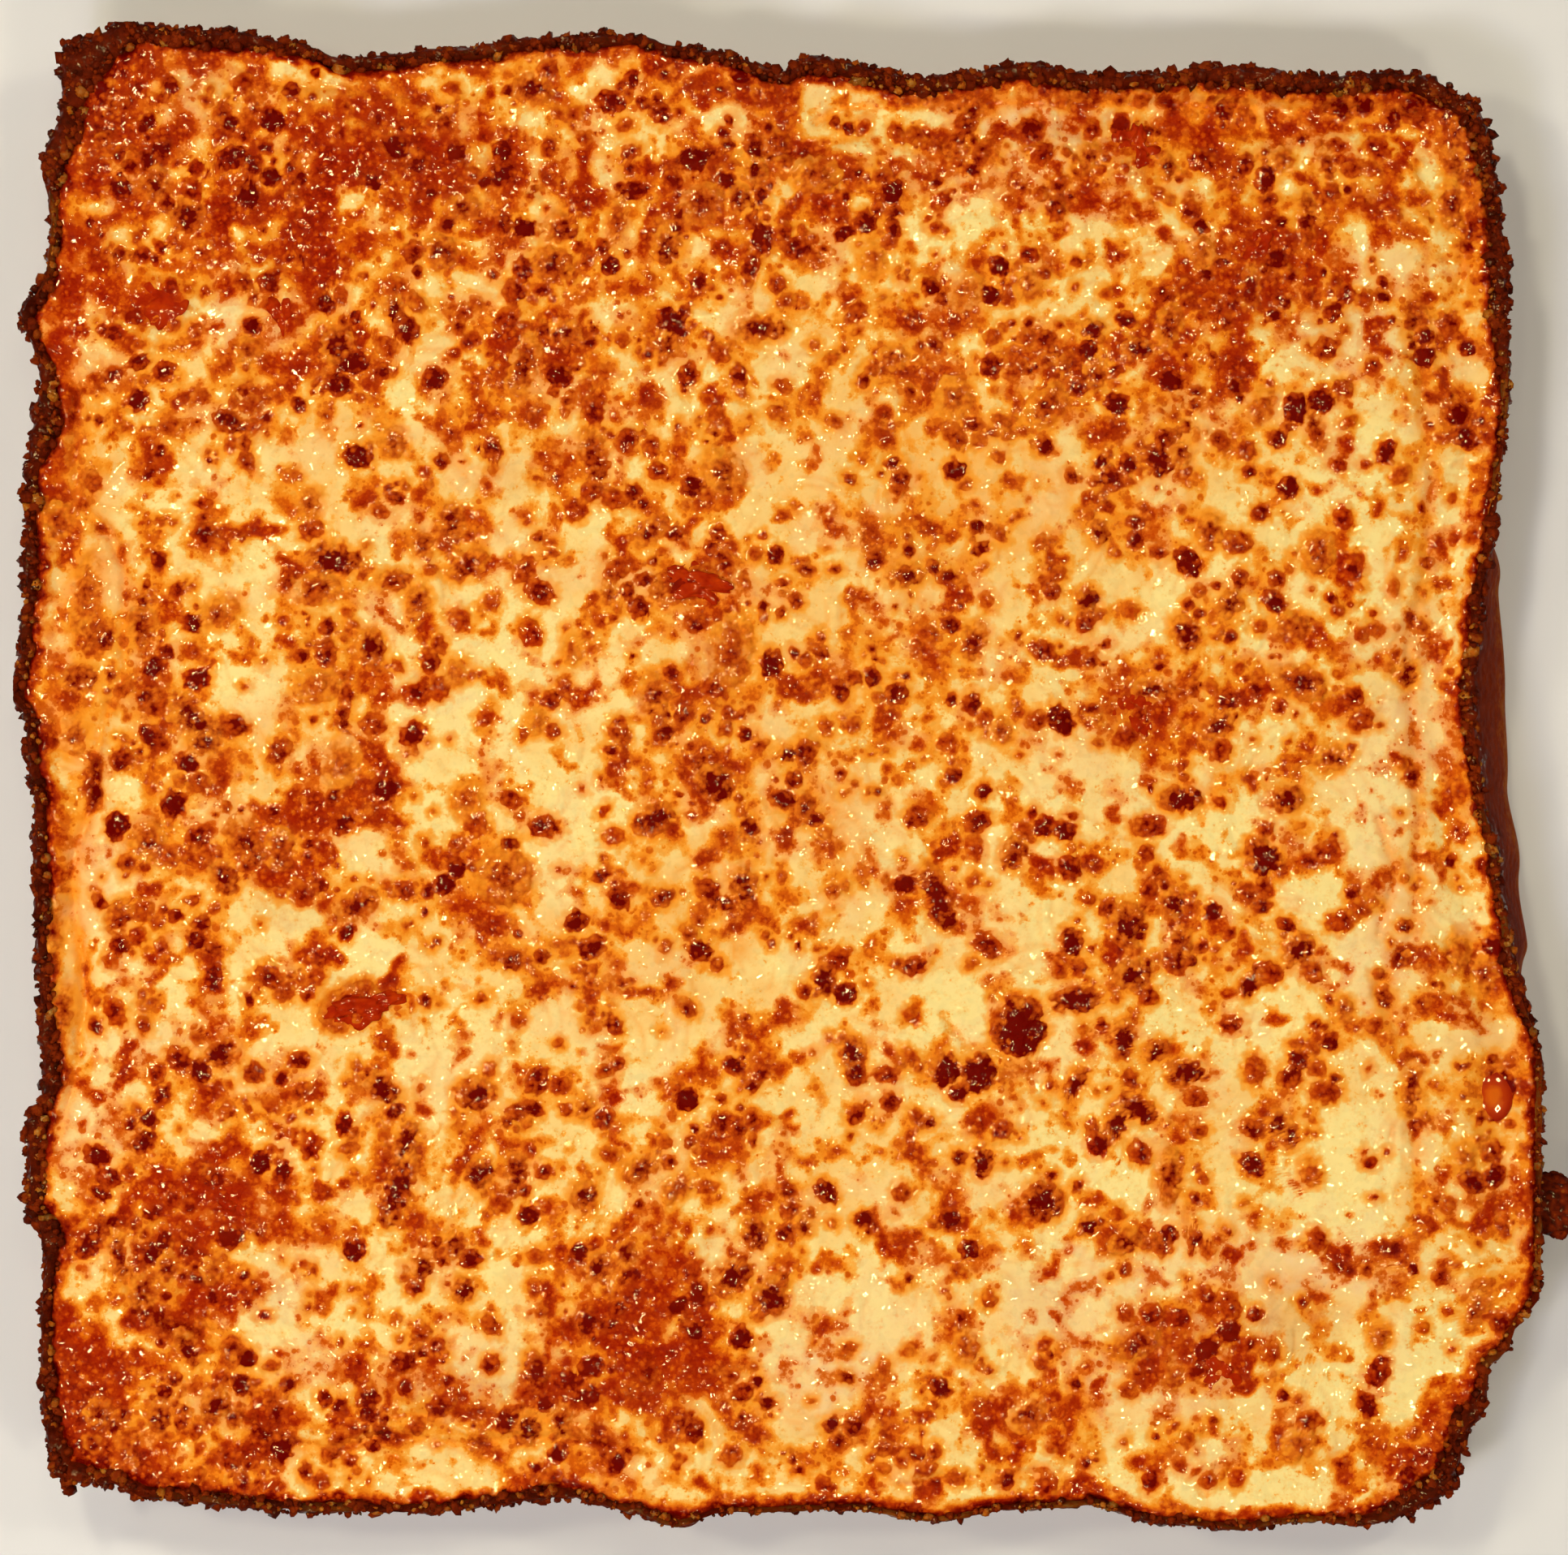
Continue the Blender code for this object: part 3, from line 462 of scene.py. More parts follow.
MILKY = (
    (1660, 420, 80, 50, 0, 0.55), (1700, 330, 70, 40, 0, 0.5), (1180, 200, 100, 50, 0, 0.4),
    (1280, 170, 90, 40, 0, 0.6), (1340, 220, 60, 50, 0, 0.5), (230, 120, 60, 40, 0, 0.45),
    (310, 400, 60, 40, 0, 0.6), (530, 850, 60, 26, 10, 0.5), (470, 760, 30, 40, 0, 0.45),
    (560, 1330, 70, 60, 0, 0.35), (330, 1600, 60, 40, 0, 0.55), (380, 1680, 60, 40, 0, 0.45),
    (580, 1680, 110, 50, 0, 0.5), (990, 1690, 60, 60, 30, 0.6), (1080, 1650, 60, 80, 40, 0.5),
    (1300, 1620, 90, 70, 0, 0.55), (1500, 1560, 160, 50, 0, 0.55), (1660, 1560, 80, 50, 0, 0.55),
    (1440, 1700, 90, 60, 0, 0.5), (1700, 1160, 60, 90, 20, 0.6), (1700, 960, 60, 110, 0, 0.45),
    (1760, 860, 40, 110, 0, 0.4), (140, 1060, 50, 50, 0, 0.55), (200, 1290, 80, 40, 0, 0.45),
    (110, 1400, 50, 70, 0, 0.5), (350, 1320, 70, 40, 0, 0.35), (700, 840, 60, 60, 0, 0.3),
    (640, 690, 50, 50, 0, 0.35), (1320, 920, 60, 60, 0, 0.35), (1300, 1290, 50, 50, 0, 0.3),
    (640, 210, 60, 40, 0, 0.3), (1050, 1010, 80, 60, 40, 0.25), (1220, 1150, 60, 60, 0, 0.25),
    (90, 400, 40, 90, 0, 0.3), (1390, 980, 60, 40, 0, 0.3), (1130, 720, 70, 50, 0, 0.2),
)

# Folds and creases by landmark: how deep and how wide in millimetres, then the line.
FOLDS = (
    (1.3, 1.1, ((92, 480), (90, 560), (92, 607), (105, 630), (134, 658), (153, 700), (153, 767),
                (153, 831), (128, 888), (118, 926), (116, 980))),
    (1.1, 1.0, ((116, 980), (92, 1040), (84, 1087), (96, 1167), (102, 1231), (96, 1279), (86, 1343),
                (70, 1413))),
    (0.9, 1.0, ((1005, 150), (1040, 130), (1150, 124), (1300, 122), (1460, 124), (1640, 132))),
    (0.8, 0.9, ((1640, 132), (1740, 140), (1790, 150), (1803, 215), (1812, 290), (1800, 350))),
    (0.8, 1.4, ((1745, 380), (1765, 590), (1760, 700), (1735, 800), (1750, 1000), (1745, 1150),
                (1700, 1220))),
    (0.6, 1.3, ((1700, 1220), (1740, 1300), (1745, 1400), (1745, 1500), (1700, 1560), (1560, 1580))),
    (1.0, 1.0, ((156, 1579), (180, 1612), (204, 1636), (249, 1642), (300, 1660))),
    (0.9, 1.0, ((285, 1745), (340, 1775), (400, 1790), (480, 1770), (560, 1780), (680, 1772),
                (760, 1785))),
    (0.7, 0.9, ((480, 1745), (600, 1740), (740, 1762))),
    (0.6, 1.0, ((1110, 1832), (1180, 1822), (1280, 1817))),
    (0.6, 1.0, ((1700, 1010), (1722, 1080), (1700, 1150))),
    (0.5, 1.0, ((330, 100), (420, 108), (520, 120), (560, 150))),
    (0.7, 1.1, ((820, 200), (900, 178), (980, 190), (1040, 170))),
    (0.5, 1.2, ((1480, 1010), (1500, 960), (1560, 950), (1600, 960))),
    (0.4, 0.8, ((1160, 1250), (1190, 1290), (1230, 1290))),
    (0.5, 1.0, ((430, 1430), (450, 1380), (500, 1360))),
)

# Layers of noise, each as strength, size in millimetres and seed.
MOTTLE_WIDE: Layers = ((0.12, 26.0, 11), (0.26, 11.0, 12))
MOTTLE_FINE: Layers = ((0.24, 5.5, 13), (0.10, 2.5, 14))
OIL_LAYERS: Layers = ((0.25, 14.0, 21), (0.22, 5.0, 22))
SWELL_LAYERS: Layers = ((0.30, 12.0, 31), (0.24, 5.2, 32))
RAGGED: Layers = ((0.35, 9.0, 71), (0.30, 3.4, 72))
BARE_EDGE: Layers = ((1.0, 7.0, 85), (0.6, 2.6, 86))
BAKED: Layers = ((0.26, 4.0, 84), (0.24, 1.7, 89))
FRIED: Layers = ((0.9, 2.2, 87), (0.9, 8.0, 88))


@dataclass
class CheeseTones:
    """What the heat and the sauce did to the cheese at each place, with painted shade on its blisters and
    creases, and how high it stands.
    """

    x: np.ndarray
    y: np.ndarray
    height: np.ndarray
    brown: np.ndarray = field(init=False)
    oil: np.ndarray = field(init=False)
    sauce: np.ndarray = field(init=False)
    milk: np.ndarray = field(init=False)
    near: np.ndarray = field(init=False)
    dark: np.ndarray = field(init=False)
    dome: np.ndarray = field(init=False)
    spots: int = 2400
    most_tries: int = 60000
    strands: int = 800
    finest_pitch: float = 0.50
    margin: int = 14
    field_half: float = 141.0
    halo_width: float = 1.6
    browned_shares: tuple = (0.0, 0.34, 0.74, 1.0)
    browned_tones: tuple = (0.0, 0.05, 0.47, 0.84)

    def __post_init__(self) -> None:
        """Start from bare cheese, far from any blister."""
        self.brown, self.oil, self.sauce, self.milk = (np.zeros_like(self.x) for _ in range(4))
        self.near, self.dark = np.full_like(self.x, -3.0), np.full_like(self.x, 0.6)
        self.dome = np.zeros_like(self.x)

    def window(self, x: float, y: float, reach: float) -> tuple[slice, slice]:
        """The part of the lattice that a mark of the given reach can touch."""
        leap = 12
        far = np.hypot(self.x[::leap, ::leap] - x, self.y[::leap, ::leap] - y)
        row, column = (leap * int(place) for place in np.unravel_index(far.argmin(), far.shape))
        span = int(reach / self.finest_pitch) + self.margin
        return (
            slice(max(row - span, 0), row + span + 1),
            slice(max(column - span, 0), column + span + 1),
        )

    def surface(self, x: float, y: float) -> float:
        """The height of the cheese at the lattice point nearest to a place."""
        at = self.window(x, y, 0.0)
        far = np.hypot(self.x[at] - x, self.y[at] - y)
        return float(self.height[at].ravel()[far.argmin()])

    def patches(self, target: np.ndarray, marks: tuple, gain: float = 1.0) -> None:
        """Lay soft uneven patches on a tone.

        Args:
            target: The tone to add to.
            marks: Landmarks as column, row, half width, half length, turn and strength.
            gain: What the strengths are multiplied by.
        """
        ragged = ripples(self.x, self.y, RAGGED, 1.0)
        for column, row, half_x, half_y, turn, strength in marks:
            cx, cy = chart(column, row)
            u, v = turned(self.x - cx, self.y - cy, turn)
            u, v = u / (half_x * STEP), v / (half_y * STEP)
            rho = np.sqrt(u * u + v * v) * ragged
            target += gain * strength * (1.0 - ease(rho, 0.45, 1.35))

    def ground(self) -> None:
        """Mottle the whole sheet, then lay the wide patches."""
        x, y = self.x, self.y
        mottle = ripples(x, y, MOTTLE_WIDE)
        mottle += ripples(x, y, MOTTLE_FINE)
        mottle += 0.30 * ease(ripple(x, y, 6.5, 15) + 0.4 * ripple(x, y, 2.6, 16), 0.15, 0.75)
        self.brown += 0.22 + mottle + self.hot_sides()
        self.patches(self.brown, TOASTED, 0.62)
        self.patches(self.brown, CREAM, -0.30)
        self.patches(self.oil, OILY, 0.8)
        self.oil += ripples(x, y, OIL_LAYERS, 0.18)
        self.patches(self.oil, CREAM, -0.6)
        self.patches(self.sauce, SAUCY, 0.65)
        self.patches(self.milk, MILKY, 1.3)
        self.height += ripples(x, y, SWELL_LAYERS)
        self.height += 0.12 * ripple(x, y, 2.4, 33)

    def hot_sides(self) -> np.ndarray:
        """How much browner the cheese is towards the hot sides of the pan and their corners."""
        back, left = ease(self.y, 50.0, 130.0), ease(-self.x, 80.0, 140.0)
        front, right = ease(-self.y, 100.0, 140.0), ease(self.x, 90.0, 140.0)
        return 0.12 * back + 0.09 * left + 0.07 * front + 0.05 * right + 0.06 * left * np.maximum(back, front)

    def strand(self, x: float, y: float, length: float, width: float, turn: float, bend: float,
               rise: float, tone: float) -> None:
        """One melted shred of cheese: a low bent ridge, paler or oilier than its bed.

        Args:
            x: Middle along x in millimetres.
            y: Middle along y in millimetres.
            length: Full length in millimetres.
            width: Half width in millimetres.
            turn: Heading in radians.
            bend: How far its middle bows out, in millimetres.
            rise: Height of the ridge in millimetres.
            tone: Change of browning along it.
        """
        at = self.window(x, y, length / 2 + width)
        dx, dy = self.x[at] - x, self.y[at] - y
        along_it = dx * math.cos(turn) + dy * math.sin(turn)
        across = dy * math.cos(turn) - dx * math.sin(turn)
        share = np.clip(along_it / (length / 2), -1.3, 1.3)
        across = across - bend * (1.0 - share * share)
        ends = np.clip(1.15 - np.abs(share), 0, 0.3)
        inside = np.clip(1.0 - (across / width) ** 2, 0, 1) * ends / 0.3
        self.height[at] += rise * np.sqrt(inside)
        self.brown[at] += tone * ease(inside, 0.0, 0.7)
        beside = bell(np.abs(across), width, 0.5) * ends / 0.3
        self.oil[at] += 0.35 * beside
        self.height[at] -= 0.10 * beside

    def shreds(self) -> None:
        """Lay the melted shreds all over, mostly with the grain of their neighbours."""
        rng = np.random.default_rng(5)
        for _ in range(self.strands):
            x, y = rng.uniform(-142, 142), rng.uniform(-142, 142)
            tone = rng.choice((-0.12, -0.07, 0.05, 0.09))
            turn = 2.2 + 1.6 * float(ripple(np.array(x), np.array(y), 60.0, 62)) + rng.normal(0.0, 0.6)
            self.strand(x, y, rng.uniform(4, 13), rng.uniform(0.9, 2.0), turn,
                        rng.uniform(-2.0, 2.0), rng.uniform(0.06, 0.20), tone)

    def settle(self) -> None:
        """Spread the browning of the open cheese evenly from palest to well browned."""
        order = np.empty(self.brown.size)
        order[np.argsort(self.brown, axis=None)] = np.linspace(0.0, 1.0, self.brown.size)
        self.brown = np.interp(order, self.browned_shares, self.browned_tones).reshape(self.brown.shape)

    def spot(self, x: float, y: float, half_width: float, half_length: float, turn: float,
             dark: float, rise: float, seed: int) -> None:
        """One blister: a dome with a dark skin, and painted shade making it darkest on its lower right.

        Args:
            x: Middle along x in millimetres.
            y: Middle along y in millimetres.
            half_width: Half its width in millimetres.
            half_length: Half its length in millimetres.
            turn: Heading of its length in degrees from +Y, clockwise.
            dark: How dark it is baked, 0 to 1.2.
            rise: Height of the dome in millimetres.
            seed: Which ragged edge it gets.
        """
        at = self.window(x, y, half_length + 2.5)
        dx, dy = self.x[at] - x, self.y[at] - y
        u, v = turned(dx, dy, turn)
        u, v = u / half_width, v / half_length
        size = max(1.3, 0.6 * half_width)
        rho = np.sqrt(u * u + v * v) * (1.0 + 0.24 * ripple(dx + seed, dy - seed, size, 40 + seed % 7))
        reach = (1.0 - rho) * half_width
        # Painted shade: the skin darkens towards its lower right, the side turned away from the light.
        lower_right_shade = np.clip((dx - dy) / (half_width + half_length), -1.0, 1.0)
        skin = dark * (0.86 + 0.16 * ease(reach / half_width, 0.0, 0.75)) + 0.06 * lower_right_shade
        self.dark[at] = np.where(reach > self.near[at], skin, self.dark[at])
        self.near[at] = np.maximum(self.near[at], reach)
        halo = ease(reach, -self.halo_width, 0.2)
        self.milk[at] *= 1.0 - 0.9 * halo
        self.oil[at] += 0.35 * halo
        shape = rise * np.clip(1.0 - rho * rho, 0, 1) ** 1.1
        shape -= 0.06 * bell(rho, 1.25, 0.25)
        here = self.dome[at]
        low = np.where(here > 0, here, here + shape)
        self.dome[at] = np.where(shape > 0.02, np.maximum(shape, here), low)

    def cluster(self, x: float, y: float, half_width: float, half_length: float, turn: float,
                dark: float, seed: int) -> None:
        """A big blister with smaller bubbles grown together round its edge, the lower right ones darkened as
        painted shade.

        Args:
            x: Middle along x in millimetres.
            y: Middle along y in millimetres.
            half_width: Half its width in millimetres.
            half_length: Half its length in millimetres.
            turn: Heading of its length in degrees from +Y, clockwise.
            dark: How dark it is baked, 0 to 1.2.
            seed: Which bubbles it gets.
        """
        rng = np.random.default_rng(1000 + seed)
        self.spot(x, y, 0.80 * half_width, 0.80 * half_length, turn, dark, 0.24 * half_width + 0.10, seed)
        bubbles = int(4 + half_length * 1.5)
        for step in range(bubbles):
            angle = (step + rng.uniform(-0.35, 0.35)) / bubbles * 2.0 * math.pi
            size = half_width * rng.uniform(0.24, 0.46) + 0.15
            u, v = (half_width - 0.75 * size) * math.cos(angle), (half_length - 0.75 * size) * math.sin(angle)
            across, up = turned(u, v, -turn)
            # Painted shade: bubbles on the lower right are darkened; the random part gives each bubble a
            # lighter tone than the core.
            shade = 0.16 * (across - up) / (half_width + half_length) + rng.uniform(-0.32, -0.08)
            self.spot(x + across, y + up, size, size * rng.uniform(1.0, 1.3), rng.uniform(0, 180),
                      dark + shade, 0.34 * size + 0.08, seed + step)

    def blisters(self) -> None:
        """Raise the blisters of the chart, and many small ones between them."""
        rng = np.random.default_rng(8)
        taken = []
        for number, (column, row, half_x, half_y, turn, dark) in enumerate(BLISTERS):
            x, y = chart(column, row)
            self.cluster(x, y, half_x * STEP, half_y * STEP, turn, 0.25 + 0.77 * dark, number)
            taken.append((x, y, half_y * STEP))
        places = np.array(taken)
        tries = 0
        while len(places) < self.spots and tries < self.most_tries:
            tries += 1
            half = 0.60 + 1.90 * rng.random() ** 1.9
            x, y = rng.uniform(-self.field_half, self.field_half), rng.uniform(-140, 140)
            if rng.random() < 0.45:
                host = places[rng.integers(len(places))]
                angle = rng.uniform(0, 2 * math.pi)
                x = host[0] + (host[2] + 0.8 * half) * math.cos(angle)
                y = host[1] + (host[2] + 0.8 * half) * math.sin(angle)
            if max(abs(x), abs(y)) > self.field_half:
                continue
            gap = np.hypot(places[:, 0] - x, places[:, 1] - y) - places[:, 2] * 0.85
            if gap.min() < 0.55 * half:
                continue
            bed = float(self.brown[self.window(x, y, 1.0)].mean())
            if rng.random() > 0.20 + 2.2 * bed:
                continue
            dark = 0.72 + 0.22 * rng.random() ** 1.2 + 0.20 * (bed - 0.3) + 0.08 * (half - 0.9)
            stretch = rng.uniform(1.0, 1.5)
            self.spot(x, y, half, half * stretch, rng.uniform(0, 180), dark, 0.24 * half + 0.04,
                      int(rng.integers(1000)))
            places = np.vstack([places, (x, y, half * stretch)])
        self.height += self.dome
        LOG.info("blisters laid: %d in %d tries", len(places), tries)

    def folds(self) -> None:
        """Press in the creases, with oil lying in them and painted shade browning them."""
        for depth, width, line in FOLDS:
            nearest = np.full_like(self.x, 1e9)
            points = [chart(*place) for place in line]
            for (ax, ay), (bx, by) in zip(points, points[1:]):
                ex, ey = bx - ax, by - ay
                share = np.clip(((self.x - ax) * ex + (self.y - ay) * ey) / (ex * ex + ey * ey), 0, 1)
                nearest = np.minimum(nearest, np.hypot(self.x - ax - share * ex, self.y - ay - share * ey))
            nearest = nearest + 0.5 * ripple(self.x, self.y, 4.0, 61)
            groove = bell(nearest, 0.0, width)
            self.height -= depth * groove
            self.oil += 0.6 * bell(nearest, 0.0, 2.2 * width)
            # Painted shade: the cheese is browned along each groove, where shade falls in the crease.
            self.brown += 0.22 * groove


@dataclass(frozen=True)
class Finish:
    """A surface finish as numbers that stay the same all over."""

    name: str
    roughness: float
    coat: float
    coat_roughness: float
    specular: float


class Tone(Enum):
    """Named colours, as linear red, green and blue."""

    CREAM = (0.98, 0.745, 0.315)
    BUTTER = (0.96, 0.545, 0.145)
    STRAW = (0.96, 0.43, 0.074)
    OIL = (0.92, 0.315, 0.024)
    HONEY = (0.84, 0.200, 0.006)
    AMBER = (0.70, 0.118, 0.0025)
    RUST = (0.52, 0.040, 0.0008)
    SCORCH = (0.33, 0.0100, 0.0002)
    BURNT = (0.150, 0.0010, 0.0001)
    BARK = (0.220, 0.022, 0.0022)
    CHAR = (0.125, 0.0095, 0.0014)
    SOOT = (0.050, 0.0045, 0.0010)
    MILK = (0.93, 0.62, 0.34)
    SAUCE = (0.42, 0.020, 0.0012)
    BREAD = (0.50, 0.175, 0.026)
    TOAST = (0.340, 0.078, 0.007)
    FLOOR_DIM = (0.77, 0.76, 0.87)
    FLOOR_BRIGHT = (0.81, 0.80, 0.91)


class NodeBench:
    """Lays out the nodes of one material."""

    def __init__(self, finish: Finish) -> None:
        """Start a material with its uniform numbers on the shader itself.

        Args:
            finish: The finish to set.
        """
        self.material = bpy.data.materials.new(finish.name)
        self.material.use_nodes = True
        self.tree = self.material.node_tree
        self.shader = self.tree.nodes["Principled BSDF"]
        self.shader.inputs["Roughness"].default_value = finish.roughness
        self.shader.inputs["Coat Weight"].default_value = finish.coat
        self.shader.inputs["Coat Roughness"].default_value = finish.coat_roughness
        self.shader.inputs["Specular IOR Level"].default_value = finish.specular
        self.coordinates = self.tree.nodes.new("ShaderNodeTexCoord").outputs["Object"]

    def attribute(self, name: str) -> Socket:
        """The value that a mesh carries under a name."""
        node = self.tree.nodes.new("ShaderNodeAttribute")
        node.attribute_name = name
        return node.outputs["Fac"]

    def grain(self, size_mm: float, detail: float = 3.0) -> Socket:
        """Cloudy noise with features of a size, from 0 to 1."""
        node = self.tree.nodes.new("ShaderNodeTexNoise")
        node.inputs["Scale"].default_value = 1.0 / (size_mm * MM)
        node.inputs["Detail"].default_value = detail
        node.inputs["Roughness"].default_value = 0.55
        self.tree.links.new(self.coordinates, node.inputs["Vector"])
        return node.outputs["Fac"]

    def cells(self, size_mm: float) -> tuple[Socket, Socket]:
        """Small cells of a size: the distance to the nearest middle, and a number for each cell."""
        node = self.tree.nodes.new("ShaderNodeTexVoronoi")
        node.voronoi_dimensions = "2D"
        node.inputs["Scale"].default_value = 1.0 / (size_mm * MM)
        self.tree.links.new(self.coordinates, node.inputs["Vector"])
        split = self.tree.nodes.new("ShaderNodeSeparateColor")
        self.tree.links.new(node.outputs["Color"], split.inputs[0])
        return node.outputs["Distance"], split.outputs[0]

    def smooth(self, value: Socket, low: float, high: float) -> Socket:
        """A smooth step from 0 at low to 1 at high."""
        node = self.tree.nodes.new("ShaderNodeMapRange")
        node.interpolation_type = "SMOOTHSTEP"
        node.inputs["From Min"].default_value = min(low, high)
        node.inputs["From Max"].default_value = max(low, high)
        node.inputs["To Min"].default_value = 0.0 if low < high else 1.0
        node.inputs["To Max"].default_value = 1.0 if low < high else 0.0
        self.tree.links.new(value, node.inputs["Value"])
        return node.outputs["Result"]

    def math(self, operation: str, *terms: Socket | float) -> Socket:
        """The result of one operation on two or three sockets or numbers."""
        node = self.tree.nodes.new("ShaderNodeMath")
        node.operation = operation
        for socket, value in zip(node.inputs, terms):
            if isinstance(value, (int, float)):
                socket.default_value = value
            else:
                self.tree.links.new(value, socket)
        return node.outputs[0]

    def times(self, first: Socket | float, second: Socket | float) -> Socket:
        """The product of two values."""
        return self.math("MULTIPLY", first, second)

    def most(self, first: Socket | float, second: Socket | float) -> Socket:
        """The greater of two values."""
        return self.math("MAXIMUM", first, second)

    def plus(self, value: Socket | float, gain: float, added: Socket) -> Socket:
        """A value with another, scaled one added."""
        return self.math("MULTIPLY_ADD", added, gain, value)

    def nudge(self, value: Socket | float, gain: float, cloud: Socket, middle: float = 0.5) -> Socket:
        """A value pushed up where a cloud is above its middle, and down where it is below."""
        return self.plus(value, gain, self.math("SUBTRACT", cloud, middle))

    def between(self, share: Socket, first: Socket, second: Socket) -> Socket:
        """A value that goes from the first to the second as the share goes from 0 to 1."""
        return self.math("MULTIPLY_ADD", share, self.math("SUBTRACT", second, first), first)

    def ramp(self, factor: Socket, stops: tuple) -> Socket:
        """Colours along a value, as share and tone pairs."""
        node = self.tree.nodes.new("ShaderNodeValToRGB")
        band = node.color_ramp
        while len(band.elements) < len(stops):
            band.elements.new(0.5)
        for element, (share, tone) in zip(band.elements, stops):
            element.position = share
            element.color = (*tone.value, 1.0)
        self.tree.links.new(factor, node.inputs["Fac"])
        return node.outputs["Color"]

    def blend(self, factor: Socket, first: Socket, second: Socket | Tone) -> Socket:
        """Mix a colour with another colour or tone."""
        node = self.tree.nodes.new("ShaderNodeMix")
        node.data_type = "RGBA"
        node.clamp_factor = True
        self.tree.links.new(factor, node.inputs[0])
        self.tree.links.new(first, node.inputs[6])
        if isinstance(second, Tone):
            node.inputs[7].default_value = (*second.value, 1.0)
        else:
            self.tree.links.new(second, node.inputs[7])
        return node.outputs[2]

    def bump(self, height_mm: Socket) -> None:
        """Press a pattern, given in millimetres, into the surface and the film on it."""
        node = self.tree.nodes.new("ShaderNodeBump")
        node.inputs["Distance"].default_value = MM
        self.tree.links.new(height_mm, node.inputs["Height"])
        for socket in ("Normal", "Coat Normal"):
            self.tree.links.new(node.outputs["Normal"], self.shader.inputs[socket])

    def film(self, share: Socket) -> None:
        """Wet the surface in specks only."""
        self.tree.links.new(share, self.shader.inputs["Coat Weight"])

    def finish(self, colour: Socket) -> bpy.types.Material:
        """Join the colour to the shader and hand over the material."""
        self.tree.links.new(colour, self.shader.inputs["Base Color"])
        return self.material


# The cheese from palest to burnt, as share and tone.
BAKED_BAND = (
    (0.0, Tone.CREAM), (0.10, Tone.BUTTER), (0.20, Tone.STRAW), (0.35, Tone.OIL), (0.50, Tone.HONEY),
    (0.65, Tone.AMBER), (0.80, Tone.RUST), (0.92, Tone.SCORCH), (1.0, Tone.BURNT),
)
CRUST_BAND = (
    (0.0, Tone.BREAD), (0.30, Tone.TOAST), (0.52, Tone.BARK), (0.78, Tone.CHAR), (1.0, Tone.SOOT),
)
TOPPING_BAND = ((0.30, Tone.AMBER), (0.50, Tone.OIL), (0.72, Tone.BUTTER))
DROP_BAND = ((0.25, Tone.AMBER), (0.50, Tone.RUST), (0.95, Tone.SCORCH))
SAUCE_BAND = ((0.30, Tone.SCORCH), (0.50, Tone.SAUCE), (0.75, Tone.RUST))
FLOOR_BAND = ((0.0, Tone.FLOOR_DIM), (1.0, Tone.FLOOR_BRIGHT))
# Small brown dots in the open cheese: the cells' size, the largest dot and how brown it is.
DOTS = ((1.9, 0.34, 0.45), (3.3, 0.28, 0.65))
# Where the browning steps up, and by how much, so that its patches have crisp ragged edges.
STEPS_UP = ((0.09, 0.14), (0.24, 0.14), (0.40, 0.14), (0.60, 0.09))


def cheese_material() -> bpy.types.Material:
    """Melted cheese, from cream through orange oil to burnt brown, stained by sauce, with painted light on
    the tops of its small bubbles.
    """
    bench = NodeBench(Finish("baked_cheese", 0.5, 1.0, 0.06, 0.01))
    times, most, plus, nudge, smooth = bench.times, bench.most, bench.plus, bench.nudge, bench.smooth
    fine, mid, soft = bench.grain(0.55, 2.0), bench.grain(2.0, 2.0), bench.grain(1.3, 0.0)
    near = nudge(nudge(bench.attribute("near"), 1.1, soft), 0.35, fine)
    core, halo = smooth(near, -0.24, 0.32), smooth(near, -1.6, 0.2)

    ground = nudge(nudge(bench.attribute("brown"), 0.45, mid), 0.28, fine)
    for size, largest, depth in DOTS:
        distance, lot = bench.cells(size)
        dot = smooth(bench.math("SUBTRACT", times(lot, largest), distance), -0.03, 0.09)
        dot = times(times(dot, smooth(ground, 0.02, 0.25)), depth)
        ground = bench.between(dot, ground, most(ground, 0.68))
    stepped = times(ground, 0.46)
    for low, rise in STEPS_UP:
        stepped = plus(stepped, rise, smooth(ground, low, low + 0.10))
    distance, lot = bench.cells(1.5)
    bubble = smooth(plus(nudge(distance, 0.5, fine), 0.42, lot), 0.62, 0.10)
    foam = smooth(stepped, 0.42, 0.72)
    # Painted light: in the brown patches the small bubbles are lighter on their tops, as if lit, and darker
    # between them.
    ground = plus(stepped, -0.17, times(bench.math("SUBTRACT", bubble, 0.22), foam))
    ground = bench.between(times(halo, 0.75), ground, most(ground, 0.48))
    skin = nudge(nudge(bench.attribute("dark"), 0.35, mid, 0.45), -0.30, soft)
    # Painted light and shade: in the blister skins the small bubbles are lighter on their tops and darker
    # between them.
    skin = nudge(nudge(skin, -0.22, fine), -0.13, bubble, 0.30)
    level = bench.between(core, ground, skin)

    colour = bench.ramp(level, BAKED_BAND)
    oil = times(bench.attribute("oil"), bench.math("SUBTRACT", 1.0, level))
    colour = bench.blend(times(oil, 0.75), colour, Tone.OIL)
    milk = most(bench.attribute("milk"), times(smooth(bench.grain(11.0, 2.0), 0.50, 0.66), 0.42))
    milk = times(times(milk, plus(0.1, 1.2, mid)), smooth(level, 0.75, 0.35))
    colour = bench.blend(times(milk, 0.85), colour, Tone.MILK)
    stain = times(bench.attribute("sauce"), plus(-0.05, 1.6, mid))
    colour = bench.blend(times(stain, 0.7), colour, Tone.SAUCE)

    swell = plus(0.15, 0.17, smooth(bench.attribute("near"), -0.8, 0.9))
    relief = bench.math("MULTIPLY_ADD", bench.grain(1.5, 0.0), swell, times(bench.grain(2.6, 0.0), 0.46))
    bench.bump(plus(relief, 0.10, times(bubble, most(core, times(foam, 0.7)))))
    bench.film(smooth(bench.grain(1.7, 1.0), 0.53, 0.62))
    return bench.finish(colour)


